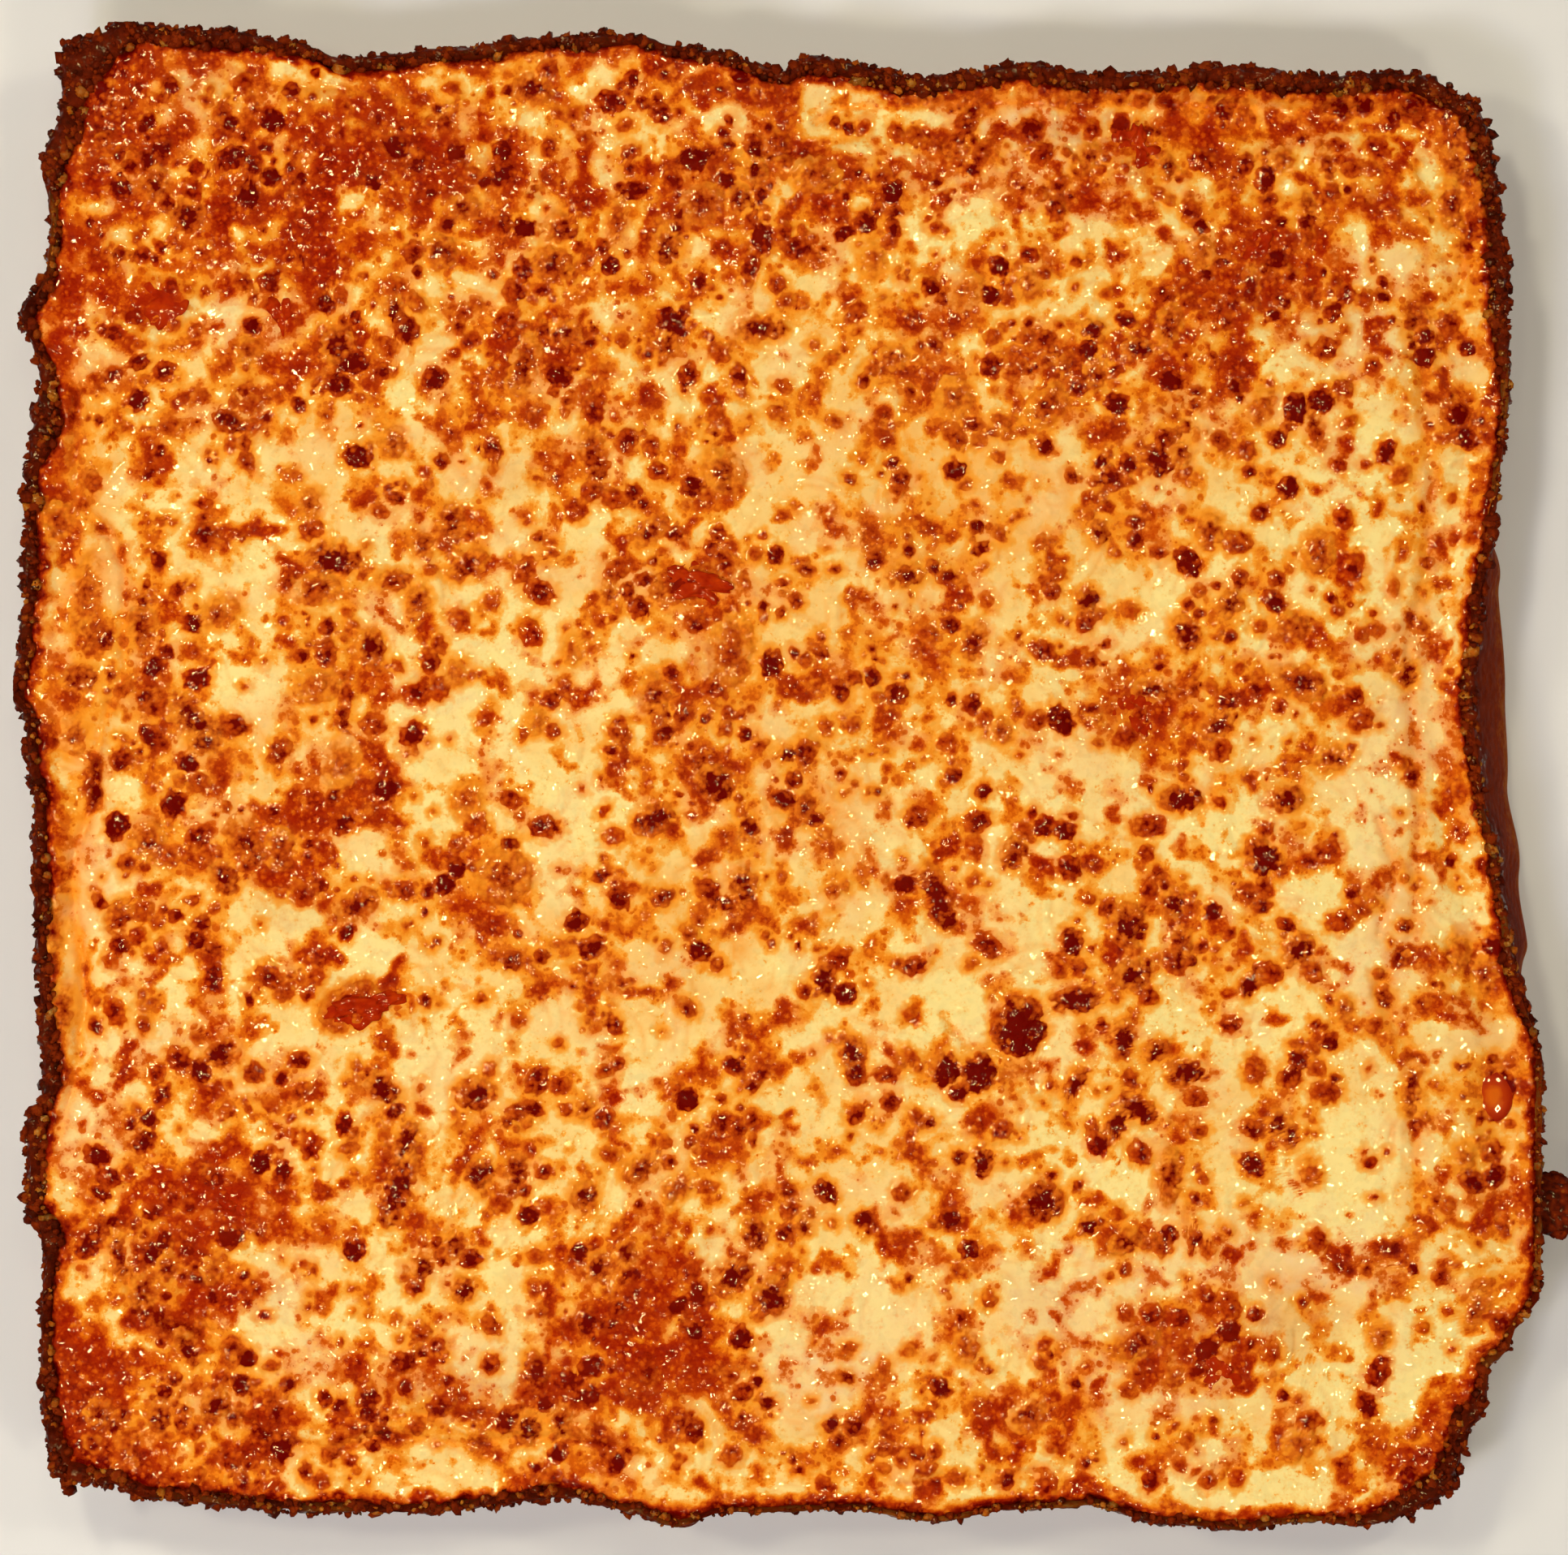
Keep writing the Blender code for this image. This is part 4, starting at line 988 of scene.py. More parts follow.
def crust_material() -> bpy.types.Material:
    """Baked bread that turns to dark lacy cheese crust where char is high."""
    bench = NodeBench(Finish("baked_crust", 0.5, 0.30, 0.06, 0.01))
    fine, mid, wide = bench.grain(0.8, 2.0), bench.grain(2.6, 3.0), bench.grain(14.0, 4.0)
    char = bench.attribute("char")
    level = bench.nudge(bench.nudge(bench.nudge(char, 0.5, mid), 0.35, fine), 0.4, wide)
    colour = bench.ramp(level, CRUST_BAND)
    cheesy = bench.times(bench.attribute("cheesy"), bench.plus(0.1, 1.4, mid))
    colour = bench.blend(cheesy, colour, bench.ramp(fine, TOPPING_BAND))
    bench.bump(bench.plus(bench.times(fine, 0.12), 0.5, bench.grain(1.8, 0.0)))
    film = bench.times(bench.smooth(char, 0.72, 0.86), bench.smooth(bench.grain(1.6, 1.0), 0.52, 0.62))
    bench.film(bench.times(film, 0.55))
    return bench.finish(colour)


def oil_material() -> bpy.types.Material:
    """Clear orange oil, darkened towards the drop's edge as painted shade, and unevenly in places."""
    bench = NodeBench(Finish("orange_oil", 0.3, 1.0, 0.03, 0.02))
    shade = bench.nudge(bench.attribute("shade"), 0.4, bench.grain(2.5, 2.0))
    return bench.finish(bench.ramp(shade, DROP_BAND))


def sauce_material() -> bpy.types.Material:
    """Wet tomato sauce with darker bits."""
    bench = NodeBench(Finish("tomato_sauce", 0.5, 1.0, 0.06, 0.01))
    bench.bump(bench.times(bench.grain(2.2, 0.0), 0.45))
    bench.film(bench.times(bench.smooth(bench.grain(1.9, 1.0), 0.53, 0.62), 0.8))
    return bench.finish(bench.ramp(bench.grain(2.4), SAUCE_BAND))


def floor_material() -> bpy.types.Material:
    """A pale floor with a faint grain."""
    bench = NodeBench(Finish("pale_floor", 0.7, 0.0, 0.1, 0.3))
    return bench.finish(bench.ramp(bench.grain(60.0), FLOOR_BAND))


def read_points(thing: bpy.types.Object) -> np.ndarray:
    """The places of an object's points, one to a row."""
    places = np.empty(len(thing.data.vertices) * 3)
    thing.data.vertices.foreach_get("co", places)
    return places.reshape(-1, 3)


def place_points(thing: bpy.types.Object, points_mm: np.ndarray) -> None:
    """Move an object's points to places given in millimetres."""
    thing.data.vertices.foreach_set("co", (points_mm * MM).ravel())
    thing.data.update()


def select_only(thing: bpy.types.Object) -> None:
    """Make one object the only selected and active one."""
    bpy.ops.object.select_all(action="DESELECT")
    thing.select_set(True)
    bpy.context.view_layer.objects.active = thing


def select_open_edges() -> None:
    """In edit mode, select the edges that have a face on one side only."""
    bpy.ops.mesh.select_mode(type="EDGE")
    bpy.ops.mesh.select_all(action="DESELECT")
    bpy.ops.mesh.select_non_manifold()


def add_lattice(name: str, columns: int, rows: int) -> tuple[bpy.types.Object, np.ndarray, np.ndarray]:
    """Add a grid and say which column and row each of its points has.

    Args:
        name: The new object's name.
        columns: Cells along x.
        rows: Cells along y.

    Returns:
        The object, and each point's column and row.
    """
    bpy.ops.object.select_all(action="DESELECT")
    bpy.ops.mesh.primitive_grid_add(x_subdivisions=columns, y_subdivisions=rows, size=2.0)
    thing = bpy.context.active_object
    thing.name = thing.data.name = name
    places = read_points(thing)
    column = np.rint((places[:, 0] + 1) / 2 * columns).astype(int)
    row = np.rint((places[:, 1] + 1) / 2 * rows).astype(int)
    return thing, column, row


def add_ball(name: str) -> tuple[bpy.types.Object, np.ndarray]:
    """Add a ball of radius 1 with a few thousand points, to be shaped.

    Args:
        name: The new object's name.

    Returns:
        The object, and the places of its points.
    """
    bpy.ops.object.select_all(action="DESELECT")
    bpy.ops.mesh.primitive_ico_sphere_add(subdivisions=5, radius=1.0)
    thing = bpy.context.active_object
    thing.name = name
    return thing, read_points(thing)


def cloud(places: np.ndarray, shift: tuple[float, float, float] = (0.0, 0.0, 0.0)) -> np.ndarray:
    """Noise at each place, with features about 1 wide.

    Args:
        places: The places, one to a row.
        shift: What is added to them, to read another part of the noise.

    Returns:
        The noise at each place.
    """
    return np.array([noise.noise(Vector(place) + Vector(shift)) for place in places])


def keep_inside(points_mm: np.ndarray) -> np.ndarray:
    """Hold points inside the solid model's box."""
    low, high = (np.array(corner) / MM for corner in CAD_BOX)
    return np.clip(points_mm, low + (CLEARANCE, CLEARANCE, 0.0), high - CLEARANCE)


def store(thing: bpy.types.Object, name: str, values: np.ndarray) -> None:
    """Keep a value for each point of a mesh."""
    layer = thing.data.attributes.new(name, "FLOAT", "POINT")
    layer.data.foreach_set("value", values.astype(np.float32).ravel())


def dress(thing: bpy.types.Object, material: bpy.types.Material, node: str) -> None:
    """Finish a piece: smooth shading, its material, and what it rides on and stands for.

    Args:
        thing: The piece.
        material: Its material.
        node: The solid it stands for.
    """
    thing.data.materials.clear()
    thing.data.materials.append(material)
    thing.data.polygons.foreach_set("use_smooth", [True] * len(thing.data.polygons))
    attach(thing, "root")
    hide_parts(node)
    LOG.info("%s: %d faces", thing.name, len(thing.data.polygons))


@dataclass
class CheeseBlanket:
    """The melted cheese, made in four quarters that meet without a step."""

    outline: PanOutline
    cells: int = 540
    top: float = 23.4
    ceiling: float = 26.2
    underside: float = 18.5
    tuck: float = 0.4
    least_rim: float = 0.45
    gutter_centre: float = 6.5
    gutter_reach: float = 5.5

    def lattice(self) -> CheeseTones:
        """Lay the whole sheet out and shape it.

        Returns:
            The places, heights and tones of the sheet.
        """
        half = self.cells // 2
        rows, columns = np.mgrid[-half:half + 1, -half:half + 1]
        edge = self.outline
        place, share = edge.square_index(columns, rows, half)
        ex, ey, rim, crest, gutter = (
            edge.read(values, place) for values in (edge.x, edge.y, edge.rim_width, edge.height, edge.gutter)
        )
        rim = np.maximum(ripples(ex, ey, BARE_EDGE, rim - self.tuck), self.least_rim)
        scale = 1.0 - rim / edge.half_width
        x, y = ex * scale * share, ey * scale * share
        inward = (1.0 - share) * edge.half_width
        puffed = self.top + 1.5 * swell_noise(x, y, 52.0, 1.0) + 0.8 * swell_noise(x, y, 19.0, 5.0)
        dip = gutter * bell(inward, self.gutter_centre, self.gutter_reach)
        climb = np.clip(1.0 - inward / (0.7 * self.gutter_centre), 0.0, 1.0)
        height = (puffed - dip) * (1.0 - climb) + (crest - 1.1) * climb
        height -= 1.6 * (1.0 - ease(inward, 0.0, 1.6))
        tones = CheeseTones(x + CHART_SHIFT[0], y + CHART_SHIFT[1], height)
        tones.ground()
        tones.shreds()
        tones.settle()
        tones.blisters()
        tones.folds()
        self.fry_edge(tones, inward)
        tones.height = np.minimum(tones.height, self.ceiling)
        return tones

    def fry_edge(self, tones: CheeseTones, inward: np.ndarray) -> None:
        """Brown the cheese unevenly along its edge, most in the corners and at the very rim.

        Args:
            tones: The whole sheet.
            inward: How far each place lies from the edge, in millimetres.
        """
        x, y = tones.x, tones.y
        corner = ease(np.minimum(np.abs(x), np.abs(y)), 108.0, 136.0)
        depth = 3.5 + 2.5 * ripple(x, y, 30.0, 83) + 12.0 * corner
        edge = 1.0 - ease(inward + 2.2 * ripple(x, y, 5.0, 81), 0.3 * depth, depth)
        baked = ripples(x, y, BAKED, 0.68) + 0.10 * corner
        tones.brown += np.maximum(baked - tones.brown, 0.0) * edge
        fried = 1.0 - ease(ripples(x, y, FRIED, inward), 1.0, 3.6)
        tones.brown = np.maximum(tones.brown, 0.96 * fried)
        tones.oil += 0.4 * edge

    def normals(self, tones: CheeseTones) -> np.ndarray:
        """Upward normals of the sheet, so that its quarters shade as one."""
        (dxr, dxc), (dyr, dyc), (dzr, dzc) = (
            np.gradient(values) for values in (tones.x, tones.y, tones.height)
        )
        across = np.stack([dyc * dzr - dzc * dyr, dzc * dxr - dxc * dzr, dxc * dyr - dyc * dxr], axis=-1)
        across[across[..., 2] < 0] *= -1
        return across / np.linalg.norm(across, axis=-1, keepdims=True)

    def quarter(self, name: str, tones: CheeseTones, normals: np.ndarray, column: int,
                row: int) -> bpy.types.Object:
        """Cut one quarter out of the lattice as a closed solid.

        Args:
            name: The piece's name.
            tones: The whole sheet.
            normals: The whole sheet's normals.
            column: 0 for the left half, 1 for the right.
            row: 0 for the lower half, 1 for the upper.

        Returns:
            The finished piece.
        """
        half = self.cells // 2
        thing, columns, rows = add_lattice(name, half, half)
        at = (rows + row * half, columns + column * half)
        place_points(thing, np.stack([tones.x[at], tones.y[at], tones.height[at]], axis=-1))
        for tone in ("brown", "oil", "sauce", "milk", "near", "dark"):
            store(thing, tone, getattr(tones, tone)[at])
        select_only(thing)
        bpy.ops.object.mode_set(mode="EDIT")
        select_open_edges()
        bpy.ops.mesh.extrude_region_move(TRANSFORM_OT_translate={"value": (0.0, 0.0, -4.0 * MM)})
        bpy.ops.object.mode_set(mode="OBJECT")
        count = len(columns)
        points = read_points(thing)
        points[count:, 2] = self.underside * MM
        thing.data.vertices.foreach_set("co", points.ravel())
        bpy.ops.object.mode_set(mode="EDIT")
        bpy.ops.mesh.edge_face_add()
        bpy.ops.object.mode_set(mode="OBJECT")
        thing.data.update()
        up = np.zeros((len(points), 3))
        up[:count] = normals[at]
        up[count:, 2] = -1.0
        thing.data.polygons.foreach_set("use_smooth", [True] * len(thing.data.polygons))
        thing.data.normals_split_custom_set_from_vertices(up.tolist())
        return thing

    def build(self, material: bpy.types.Material) -> CheeseTones:
        """Make the four quarters.

        Args:
            material: The cheese's material.

        Returns:
            The sheet that the quarters were cut from.
        """
        tones = self.lattice()
        normals = self.normals(tones)
        for row, depth in enumerate(("front", "back")):
            for column, side in enumerate(("left", "right")):
                quarter = self.quarter(f"cheese_{depth}_{side}", tones, normals, column, row)
                dress(quarter, material, "cheese")
        return tones


@dataclass
class BreadCrust:
    """The bread base, its side walls, and the ragged dark rim that runs round the cheese."""

    outline: PanOutline
    rows: int = 26
    floor: float = 16.5
    ceiling: float = 26.3
    section_shares: tuple = (0.0, 0.08, 0.34, 0.54, 0.70, 0.80, 0.90, 1.0)

    def section(self) -> tuple[np.ndarray, np.ndarray]:
        """Inset and height of the wall's section at each edge point, foot first.

        Returns:
            Two arrays, one row for each point of the section.
        """
        edge = self.outline
        base, crest, crag, rim = edge.base_inset, edge.height, edge.crag, edge.rim_width
        knots = (
            (base + 1.8, np.zeros_like(base)),
            (base, np.full_like(base, 2.4)),
            (0.62 * base + 0.4, np.full_like(base, 10.0)),
            (0.14 * base + 0.9 + crag, crest - 6.0),
            (-crag, crest - 1.6),
            (0.35 * rim, crest),
            (rim, crest - 1.0),
            (rim + 1.5, np.full_like(base, self.floor)),
        )
        fine = np.linspace(0.0, 1.0, self.rows + 1)
        insets, heights = (
            np.stack([np.interp(fine, self.section_shares, knot) for knot in np.array(column).T], axis=1)
            for column in zip(*knots)
        )
        return insets, heights

    def build(self, material: bpy.types.Material) -> bpy.types.Object:
        """Make the crust as one closed piece.

        Args:
            material: The crust's material.

        Returns:
            The finished piece.
        """
        edge = self.outline
        around = edge.x.size
        insets, heights = self.section()
        thing, columns, rows = add_lattice("crust_bread", around, self.rows)
        step = columns % around
        inset, height = insets[rows, step], heights[rows, step]
        scale = 1.0 - inset / edge.half_width
        x, y = edge.x[step] * scale, edge.y[step] * scale
        share = rows / self.rows
        inside = 1.0 - ease(share, 0.93, 1.0)
        craggy = ease(share, 0.36, 0.56) * inside
        places = np.stack([x, y, height], axis=-1)
        lumps = cloud(places / 2.6) + 0.6 * cloud(places / 1.1)
        slow = cloud(places / (9.0, 9.0, 7.0) + (0.0, 0.0, 40.0))
        push = 0.85 * craggy * lumps + 0.35 * slow * ease(share, 0.06, 0.2) * inside
        reach = np.hypot(x, y)
        lean = 1.0 - ease(share, 0.66, 0.84)
        height = np.minimum(height + push * (1.0 - lean) + 0.3 * push * craggy, self.ceiling)
        right_wall = ease(share, 0.03, 0.12) * (1.0 - ease(share, 0.45, 0.60))
        x, y = x + push * lean * x / reach, y + push * lean * y / reach
        points = np.stack([x + CHART_SHIFT[0], y + CHART_SHIFT[1], height], axis=-1)
        place_points(thing, keep_inside(points))
        char = 0.16 + 0.30 * ease(share, 0.05, 0.34) + 0.38 * ease(share, 0.30, 0.60)
        char = char + 0.26 * ease(x, 130.0, 150.0) * right_wall
        store(thing, "char", char + 0.15 * lumps * craggy)
        thin = 1.0 - ease(edge.rim_width[step], 0.8, 2.2)
        top = ease(share, 0.72, 0.86)
        store(thing, "cheesy", np.clip(0.35 * top * thin * (0.2 + 1.2 * slow), 0, 1))
        select_only(thing)
        bpy.ops.object.mode_set(mode="EDIT")
        bpy.ops.mesh.select_all(action="SELECT")
        bpy.ops.mesh.remove_doubles(threshold=1e-6)
        select_open_edges()
        bpy.ops.mesh.fill_holes(sides=0)
        bpy.ops.mesh.select_all(action="SELECT")
        bpy.ops.mesh.normals_make_consistent(inside=False)
        bpy.ops.object.mode_set(mode="OBJECT")
        dress(thing, material, "crust")
        bpy.ops.object.shade_smooth_by_angle(angle=math.radians(60))
        return thing


# Pools where sauce comes up through the cheese: x, y, half width, half length, turn in degrees.
SAUCE_POOLS = (
    (-123.7, 93.6, 5.2, 6.6, -50), (-101.3, 91.2, 3.0, 4.6, 20), (67.5, 122.4, 3.8, 5.6, 10),
    (91.5, 103.6, 3.2, 4.6, -35), (-19.2, 37.6, 3.2, 6.0, 75), (66.2, 12.2, 4.4, 5.4, 20),
    (-85.3, -45.6, 2.8, 6.2, -80), (-110.9, -84.2, 2.6, 3.2, 40), (84.3, -117.6, 4.4, 5.0, 0),
)


@dataclass
class SaucePools:
    """Lumps of sauce that stand up through the cheese."""

    tones: CheeseTones
    half_height: float = 1.9
    proud: float = 0.30
    swell: float = 1.1

    def build(self, material: bpy.types.Material) -> bpy.types.Object:
        """Make the pools as one piece.

        Args:
            material: The sauce's material.

        Returns:
            The finished piece.
        """
        lumps = []
        for number, (x, y, half_width, half_length, turn) in enumerate(SAUCE_POOLS):
            cx, cy = x + CHART_SHIFT[0], y + CHART_SHIFT[1]
            lump, places = add_ball("sauce_pools")
            rough = cloud(places * 1.7, (number * 5.0, 0.0, 0.0))
            rough = rough + 0.5 * cloud(places * 4.5, (0.0, number * 5.0, 0.0))
            places = places * (1.0 + 0.55 * rough)[:, None]
            places = places * (half_width * self.swell, half_length * self.swell, self.half_height)
            across, up = turned(places[:, 0], places[:, 1], turn)
            middle = (cx, cy, self.tones.surface(cx, cy) - self.half_height + self.proud)
            place_points(lump, np.stack([across, up, places[:, 2]], axis=-1) + middle)
            lumps.append(lump)
        select_only(lumps[0])
        for lump in lumps:
            lump.select_set(True)
        bpy.ops.object.join()
        thing = bpy.context.active_object
        dress(thing, material, "sauce")
        return thing


@dataclass
class RimScrap:
    """The curled scrap of crisp cheese that juts out on the right."""

    centre: tuple[float, float, float] = (150.0, -85.6, 17.2)
    half_size: tuple[float, float, float] = (7.2, 6.2, 1.3)
    tilt: tuple[float, float, float] = (-8.0, -16.0, -20.0)

    def build(self, material: bpy.types.Material) -> bpy.types.Object:
        """Make the scrap.

        Args:
            material: The crust's material.

        Returns:
            The finished piece.
        """
        thing, places = add_ball("crust_scrap")
        wide, fine = cloud(places * 2.0), cloud(places * 7.0)
        places = places * (1.0 + 0.20 * wide + 0.12 * fine)[:, None] * self.half_size
        about_x, about_y, about_z = (
            Matrix.Rotation(math.radians(angle), 3, axis) for angle, axis in zip(self.tilt, "XYZ")
        )
        places = places @ np.array(about_z @ about_y @ about_x).T + self.centre
        place_points(thing, keep_inside(places + np.array((*CHART_SHIFT, 0.0))))
        store(thing, "char", 0.75 + 0.5 * fine)
        store(thing, "cheesy", np.zeros(len(places)))
        dress(thing, material, "crust")
        return thing


# Where crumbs stand out past the rim, by landmark: column and row.
OUTER_CRUMBS = (
    (78, 52), (86, 60), (92, 46), (105, 46), (76, 66), (155, 32), (179, 27), (200, 34), (38, 385),
    (33, 370), (34, 410), (27, 820), (24, 850), (30, 880), (35, 1395), (36, 1450), (41, 1490),
    (38, 1420), (60, 1790), (1850, 383), (1845, 320), (1842, 250), (1838, 215), (1847, 350),
    (75, 1840), (640, 1828), (660, 1832), (616, 1824), (1740, 1870), (1790, 1815), (1768, 1850),
    (700, 1845), (1888, 1560), (1880, 1600),
)


@dataclass
class RimCrumbs:
    """Crisp crumbs of burnt cheese that make the rim ragged."""

    outline: PanOutline
    count: int = 3000
    segments: int = 6
    rings: int = 3
    link: float = 0.6

    def lump(self) -> tuple[np.ndarray, list]:
        """The points and faces of one plain crumb of radius 1."""
        points = [(0.0, 0.0, 1.0)]
        for ring in range(1, self.rings + 1):
            tilt = math.pi * ring / (self.rings + 1)
            for segment in range(self.segments):
                turn = 2.0 * math.pi * (segment + 0.5 * ring) / self.segments
                flat = math.sin(tilt)
                points.append((flat * math.cos(turn), flat * math.sin(turn), math.cos(tilt)))
        points.append((0.0, 0.0, -1.0))
        last = len(points) - 1
        faces = []
        for segment in range(self.segments):
            following = (segment + 1) % self.segments
            faces.append((0, 1 + segment, 1 + following))
            for ring in range(self.rings - 1):
                low, high = 1 + ring * self.segments, 1 + (ring + 1) * self.segments
                faces.append((low + segment, high + segment, high + following))
                faces.append((low + segment, high + following, low + following))
            base = 1 + (self.rings - 1) * self.segments
            faces.append((last, base + following, base + segment))
        return np.array(points), faces

    def rim_spots(self, rng: np.random.Generator) -> list[tuple[float, ...]]:
        """Where each crumb on the rim lies, its size, how burnt and how cheesy it is."""
        edge = self.outline
        made = []
        weights = (edge.rim_width + 1.0) / (edge.rim_width + 1.0).sum()
        for start in rng.choice(edge.x.size, self.count, p=weights):
            place = np.array(start + rng.random())
            ex, ey, width, crest = (
                float(edge.read(values, place)) for values in (edge.x, edge.y, edge.rim_width, edge.height)
            )
            share = rng.random() ** 1.15
            size = (0.55 + 1.05 * rng.random() ** 2.5) * min(1.0, 0.5 + width / 4.0)
            drop = 1.3 * max(0.0, 0.35 - share) / 0.35 + 0.9 * max(0.0, share - 0.4)
            scale = 1.0 - (-0.1 + (width + 0.6) * share) / edge.half_width
            thin = max(0.0, 1.0 - width / 2.0)
            cheesy = rng.uniform(0.15, 0.5) if rng.random() < 0.3 * share ** 2 + 0.4 * thin else 0.0
            middle = (ex * scale, ey * scale, crest - drop - 0.62 * size)
            made.append((*middle, size, rng.uniform(0.45, 1.0), cheesy))
        return made

    def outer_spots(self, rng: np.random.Generator) -> list[tuple[float, ...]]:
        """The same for the chains of crumbs that reach out past the rim."""
        edge = self.outline
        made = []
        for column, row in OUTER_CRUMBS:
            x, y = chart(column, row)
            x, y = x - CHART_SHIFT[0], y - CHART_SHIFT[1]
            root = int(np.hypot(edge.x - x, edge.y - y).argmin())
            dx, dy = edge.x[root] * 0.99 - x, edge.y[root] * 0.99 - y
            links = max(2, int(math.hypot(dx, dy) / self.link))
            for number in range(2 * links):
                share = number // 2 / links
                made.append((x + dx * share + rng.normal(0, 0.4), y + dy * share + rng.normal(0, 0.4),
                             edge.height[root] - 1.2 - 2.4 * (1.0 - share), rng.uniform(0.7, 1.4),
                             rng.uniform(0.6, 1.0), 0.0))
        return made

    def build(self, material: bpy.types.Material) -> bpy.types.Object:
        """Make all crumbs as one piece.

        Args:
            material: The crust's material.

        Returns:
            The finished piece.
        """
        rng = np.random.default_rng(21)
        plain, faces = self.lump()
        points, loops, char, cheesy = [], [], [], []
        for x, y, z, size, burnt, cheese in self.rim_spots(rng) + self.outer_spots(rng):
            spin = np.linalg.qr(rng.normal(size=(3, 3)))[0]
            if np.linalg.det(spin) < 0:
                spin[:, 0] *= -1
            stretch = size * np.array((rng.uniform(0.9, 1.5), rng.uniform(0.7, 1.1), rng.uniform(0.6, 0.9)))
            shaped = plain * rng.uniform(0.75, 1.20, (len(plain), 1)) * stretch @ spin.T
            first = len(points) * len(plain)
            points.append(shaped + (x + CHART_SHIFT[0], y + CHART_SHIFT[1], z))
            loops.extend(tuple(first + index for index in face) for face in faces)
            char.extend([burnt] * len(plain))
            cheesy.extend([cheese] * len(plain))
        placed = keep_inside(np.concatenate(points)) * MM
        mesh = bpy.data.meshes.new("crust_crumbs")
        mesh.from_pydata(placed.tolist(), [], loops)
        mesh.update()
        thing = bpy.data.objects.new("crust_crumbs", mesh)
        bpy.context.collection.objects.link(thing)
        store(thing, "char", np.array(char))
        store(thing, "cheesy", np.array(cheesy))
        dress(thing, material, "crust")
        return thing


@dataclass
class OilDrop:
    """One round drop of orange oil near the right edge."""

    tones: CheeseTones
    place: tuple[float, float] = (1842.0, 1352.0)
    half_size: tuple[float, float, float] = (4.0, 5.1, 1.3)
    sunk: float = 0.2

    def build(self, material: bpy.types.Material) -> bpy.types.Object:
        """Make the drop.

        Args:
            material: The oil's material.

        Returns:
            The finished piece.
        """
        x, y = chart(*self.place)
        thing, places = add_ball("cheese_oil_drop")
        # Painted shade: the drop is darkened towards its edge.
        store(thing, "shade", np.hypot(places[:, 0], places[:, 1]))
        middle = (x, y, self.tones.surface(x, y) - self.sunk)
        place_points(thing, keep_inside(places * self.half_size + middle))
        dress(thing, material, "cheese")
        return thing


class Shine(Enum):
    """What a lamp is for: to light the pizza, or to glint on its wet parts."""

    LIGHT = "light"
    GLINT = "glint"


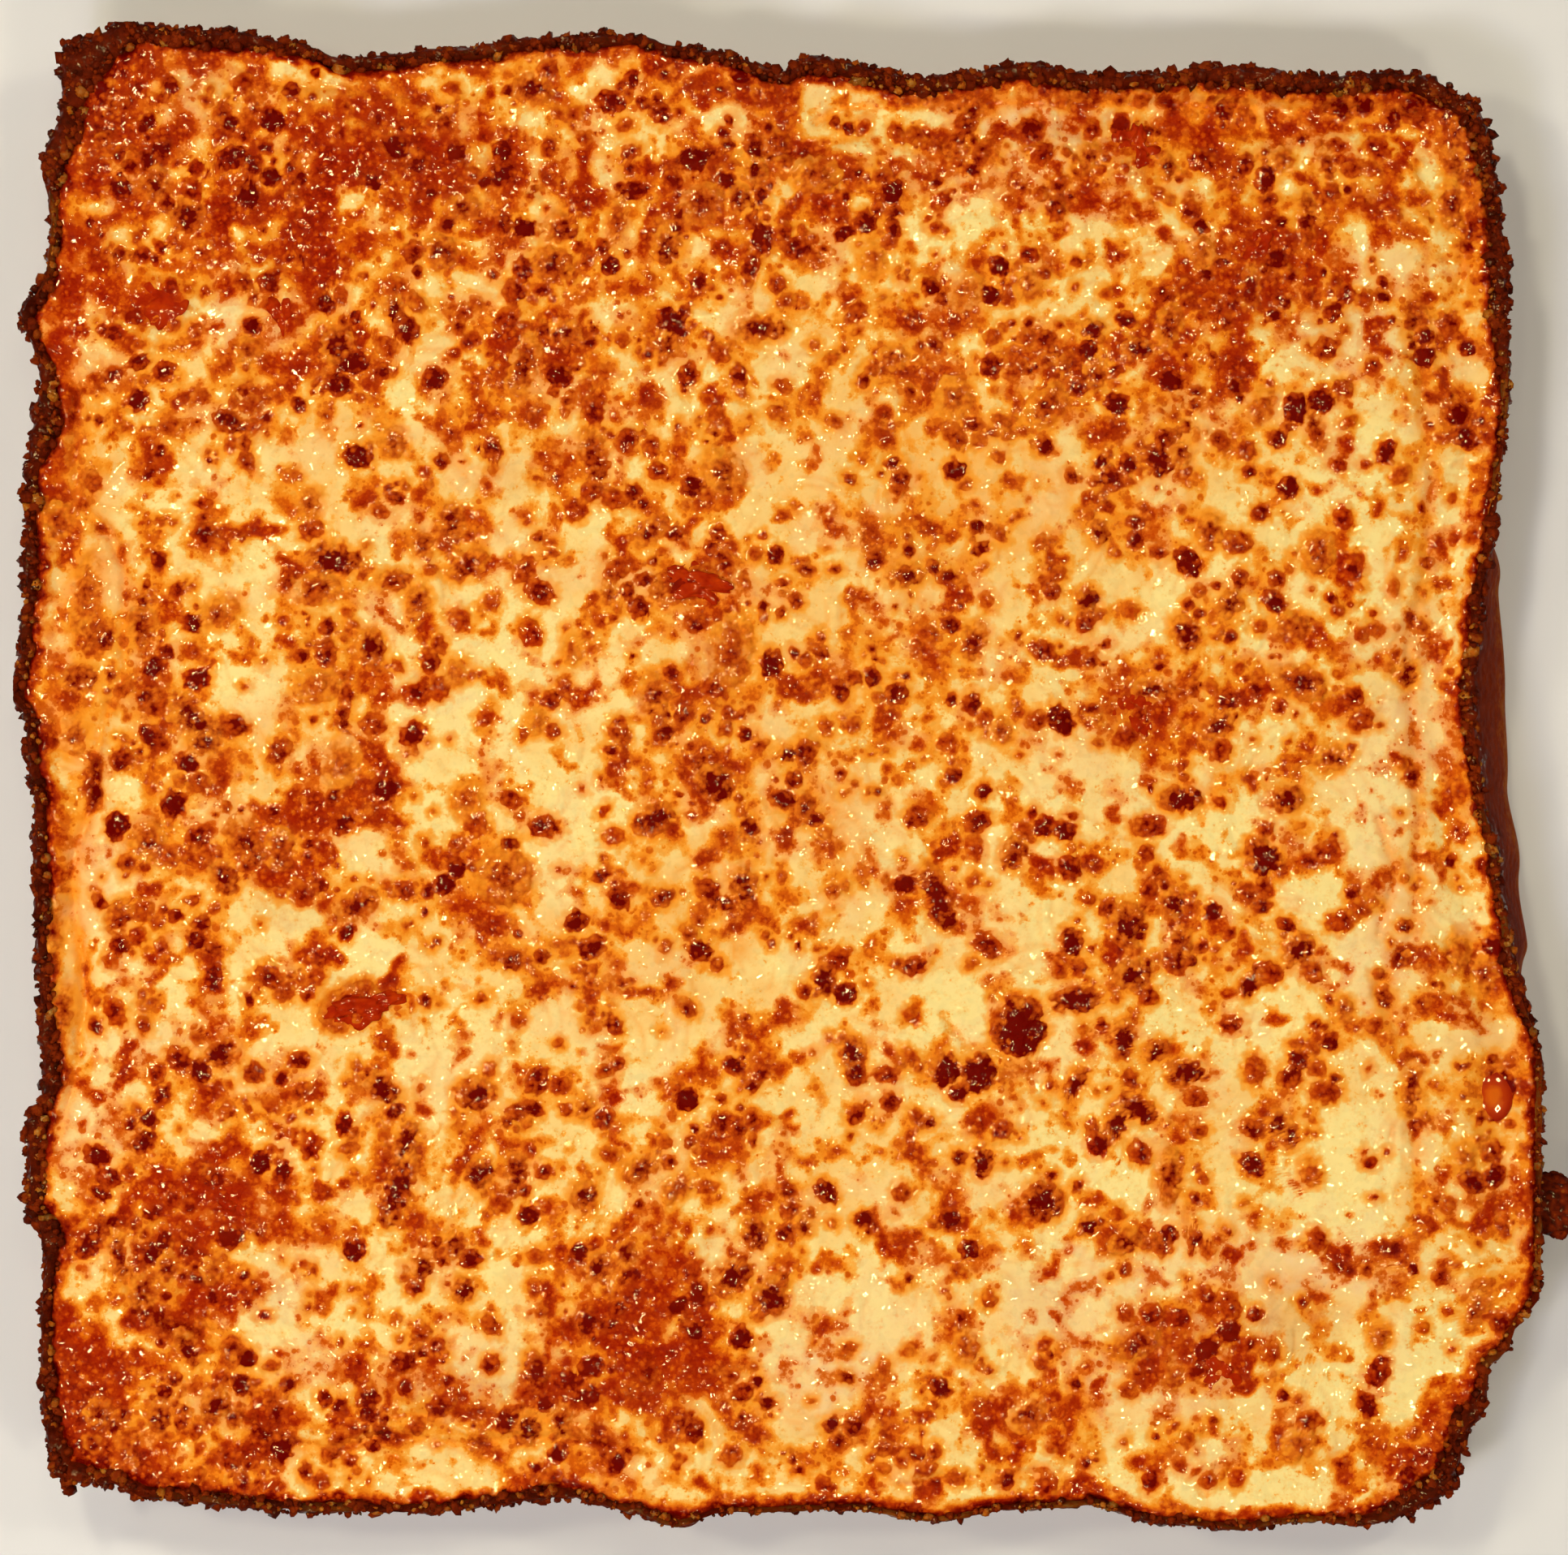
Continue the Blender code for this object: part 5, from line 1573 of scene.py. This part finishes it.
@dataclass
class Studio:
    """A pale floor, soft lamps and the camera straight above."""

    distance: float = 0.90
    lens: float = 104.8
    middle: tuple[float, float] = (966.0, 958.0)
    world_colour: tuple[float, float, float] = (1.0, 0.90, 0.76)
    world_strength: float = 0.06
    fill_colour: tuple[float, float, float] = (0.97, 1.0, 1.06)
    lamp_colour: tuple[float, float, float] = (1.0, 0.93, 0.62)
    glint_colour: tuple[float, float, float] = (1.0, 0.76, 0.32)
    lamp_watts: float = 182.0
    glint_watts: float = 300.0
    glint_spread: float = 1.65
    lamp_height: float = 1.05
    # Heading in degrees, distance from the middle and side in metres of each lamp.
    lamps: tuple = (
        (122, 0.62, 0.125), (165, 0.74, 0.118), (-44, 0.64, 0.106), (225, 0.76, 0.106),
        (35, 0.66, 0.097), (80, 0.36, 0.056), (-110, 0.42, 0.056),
    )

    def camera(self) -> None:
        """Look straight down at the middle of the picture."""
        x, y = chart(*self.middle)
        place = (x * MM, y * MM, BED_HEIGHT * MM + self.distance)
        bpy.ops.object.camera_add(location=place, rotation=(0, 0, 0))
        camera = bpy.context.active_object
        camera.data.lens = self.lens
        camera.data.sensor_width = 36.0
        camera.data.dof.use_dof = False
        bpy.context.scene.camera = camera

    def floor(self) -> None:
        """Lay a wide pale floor."""
        bpy.ops.mesh.primitive_plane_add(size=6.0, location=(0, 0, 0))
        floor = bpy.context.active_object
        floor.name = "floor"
        floor.data.materials.append(floor_material())

    def lamp(self, name: str, place: tuple[float, float, float], side: float, power: float,
             colour: tuple[float, float, float], shine: Shine = Shine.LIGHT) -> None:
        """A square lamp that faces the pizza.

        Args:
            name: The lamp's name.
            place: Where it hangs, in metres.
            side: Its side in metres.
            power: Its power in watts.
            colour: Its colour.
            shine: What it is for.
        """
        bpy.ops.object.light_add(type="AREA", location=place)
        lamp = bpy.context.active_object
        lamp.name = name
        lamp.data.shape = "RECTANGLE"
        lamp.data.size = lamp.data.size_y = side
        lamp.data.energy = power
        lamp.data.color = colour
        lamp.visible_glossy, lamp.visible_diffuse = shine is Shine.GLINT, shine is Shine.LIGHT
        lamp.rotation_euler = (Vector((0, 0, 0.02)) - Vector(place)).to_track_quat("-Z", "Y").to_euler()

    def world(self) -> None:
        """Fill the shadows a little, and keep the colours as they are made."""
        bpy.context.scene.view_settings.view_transform = "Standard"
        world = bpy.data.worlds.new("studio")
        bpy.context.scene.world = world
        world.use_nodes = True
        background = world.node_tree.nodes["Background"]
        background.inputs[0].default_value = (*self.world_colour, 1)
        background.inputs[1].default_value = self.world_strength

    def build(self) -> None:
        """Set up the whole studio."""
        self.camera()
        self.floor()
        self.world()
        for number in range(4):
            x, y = turned(0.80, 0.0, 45 + number * 90)
            self.lamp(f"fill_{number}", (x, y, 0.55), 0.45, 0.38, self.fill_colour)
        self.lamp("key", (-0.30, -0.34, 0.85), 0.16, 1.7, self.fill_colour)
        for number, (heading, reach, side) in enumerate(self.lamps):
            place = (*turned(reach, 0.0, heading), self.lamp_height)
            self.lamp(f"lamp_{number}", place, side, self.lamp_watts * side * side, self.lamp_colour)
            wide = self.glint_spread * side
            power = self.glint_watts * wide * wide
            self.lamp(f"glint_{number}", place, wide, power, self.glint_colour, Shine.GLINT)


def main() -> None:
    """Build the pizza and its studio."""
    Studio().build()
    outline = PanOutline()
    tones = CheeseBlanket(outline).build(cheese_material())
    crust = crust_material()
    BreadCrust(outline).build(crust)
    RimCrumbs(outline).build(crust)
    RimScrap().build(crust)
    OilDrop(tones).build(oil_material())
    SaucePools(tones).build(sauce_material())


if __name__ == "__main__":
    main()
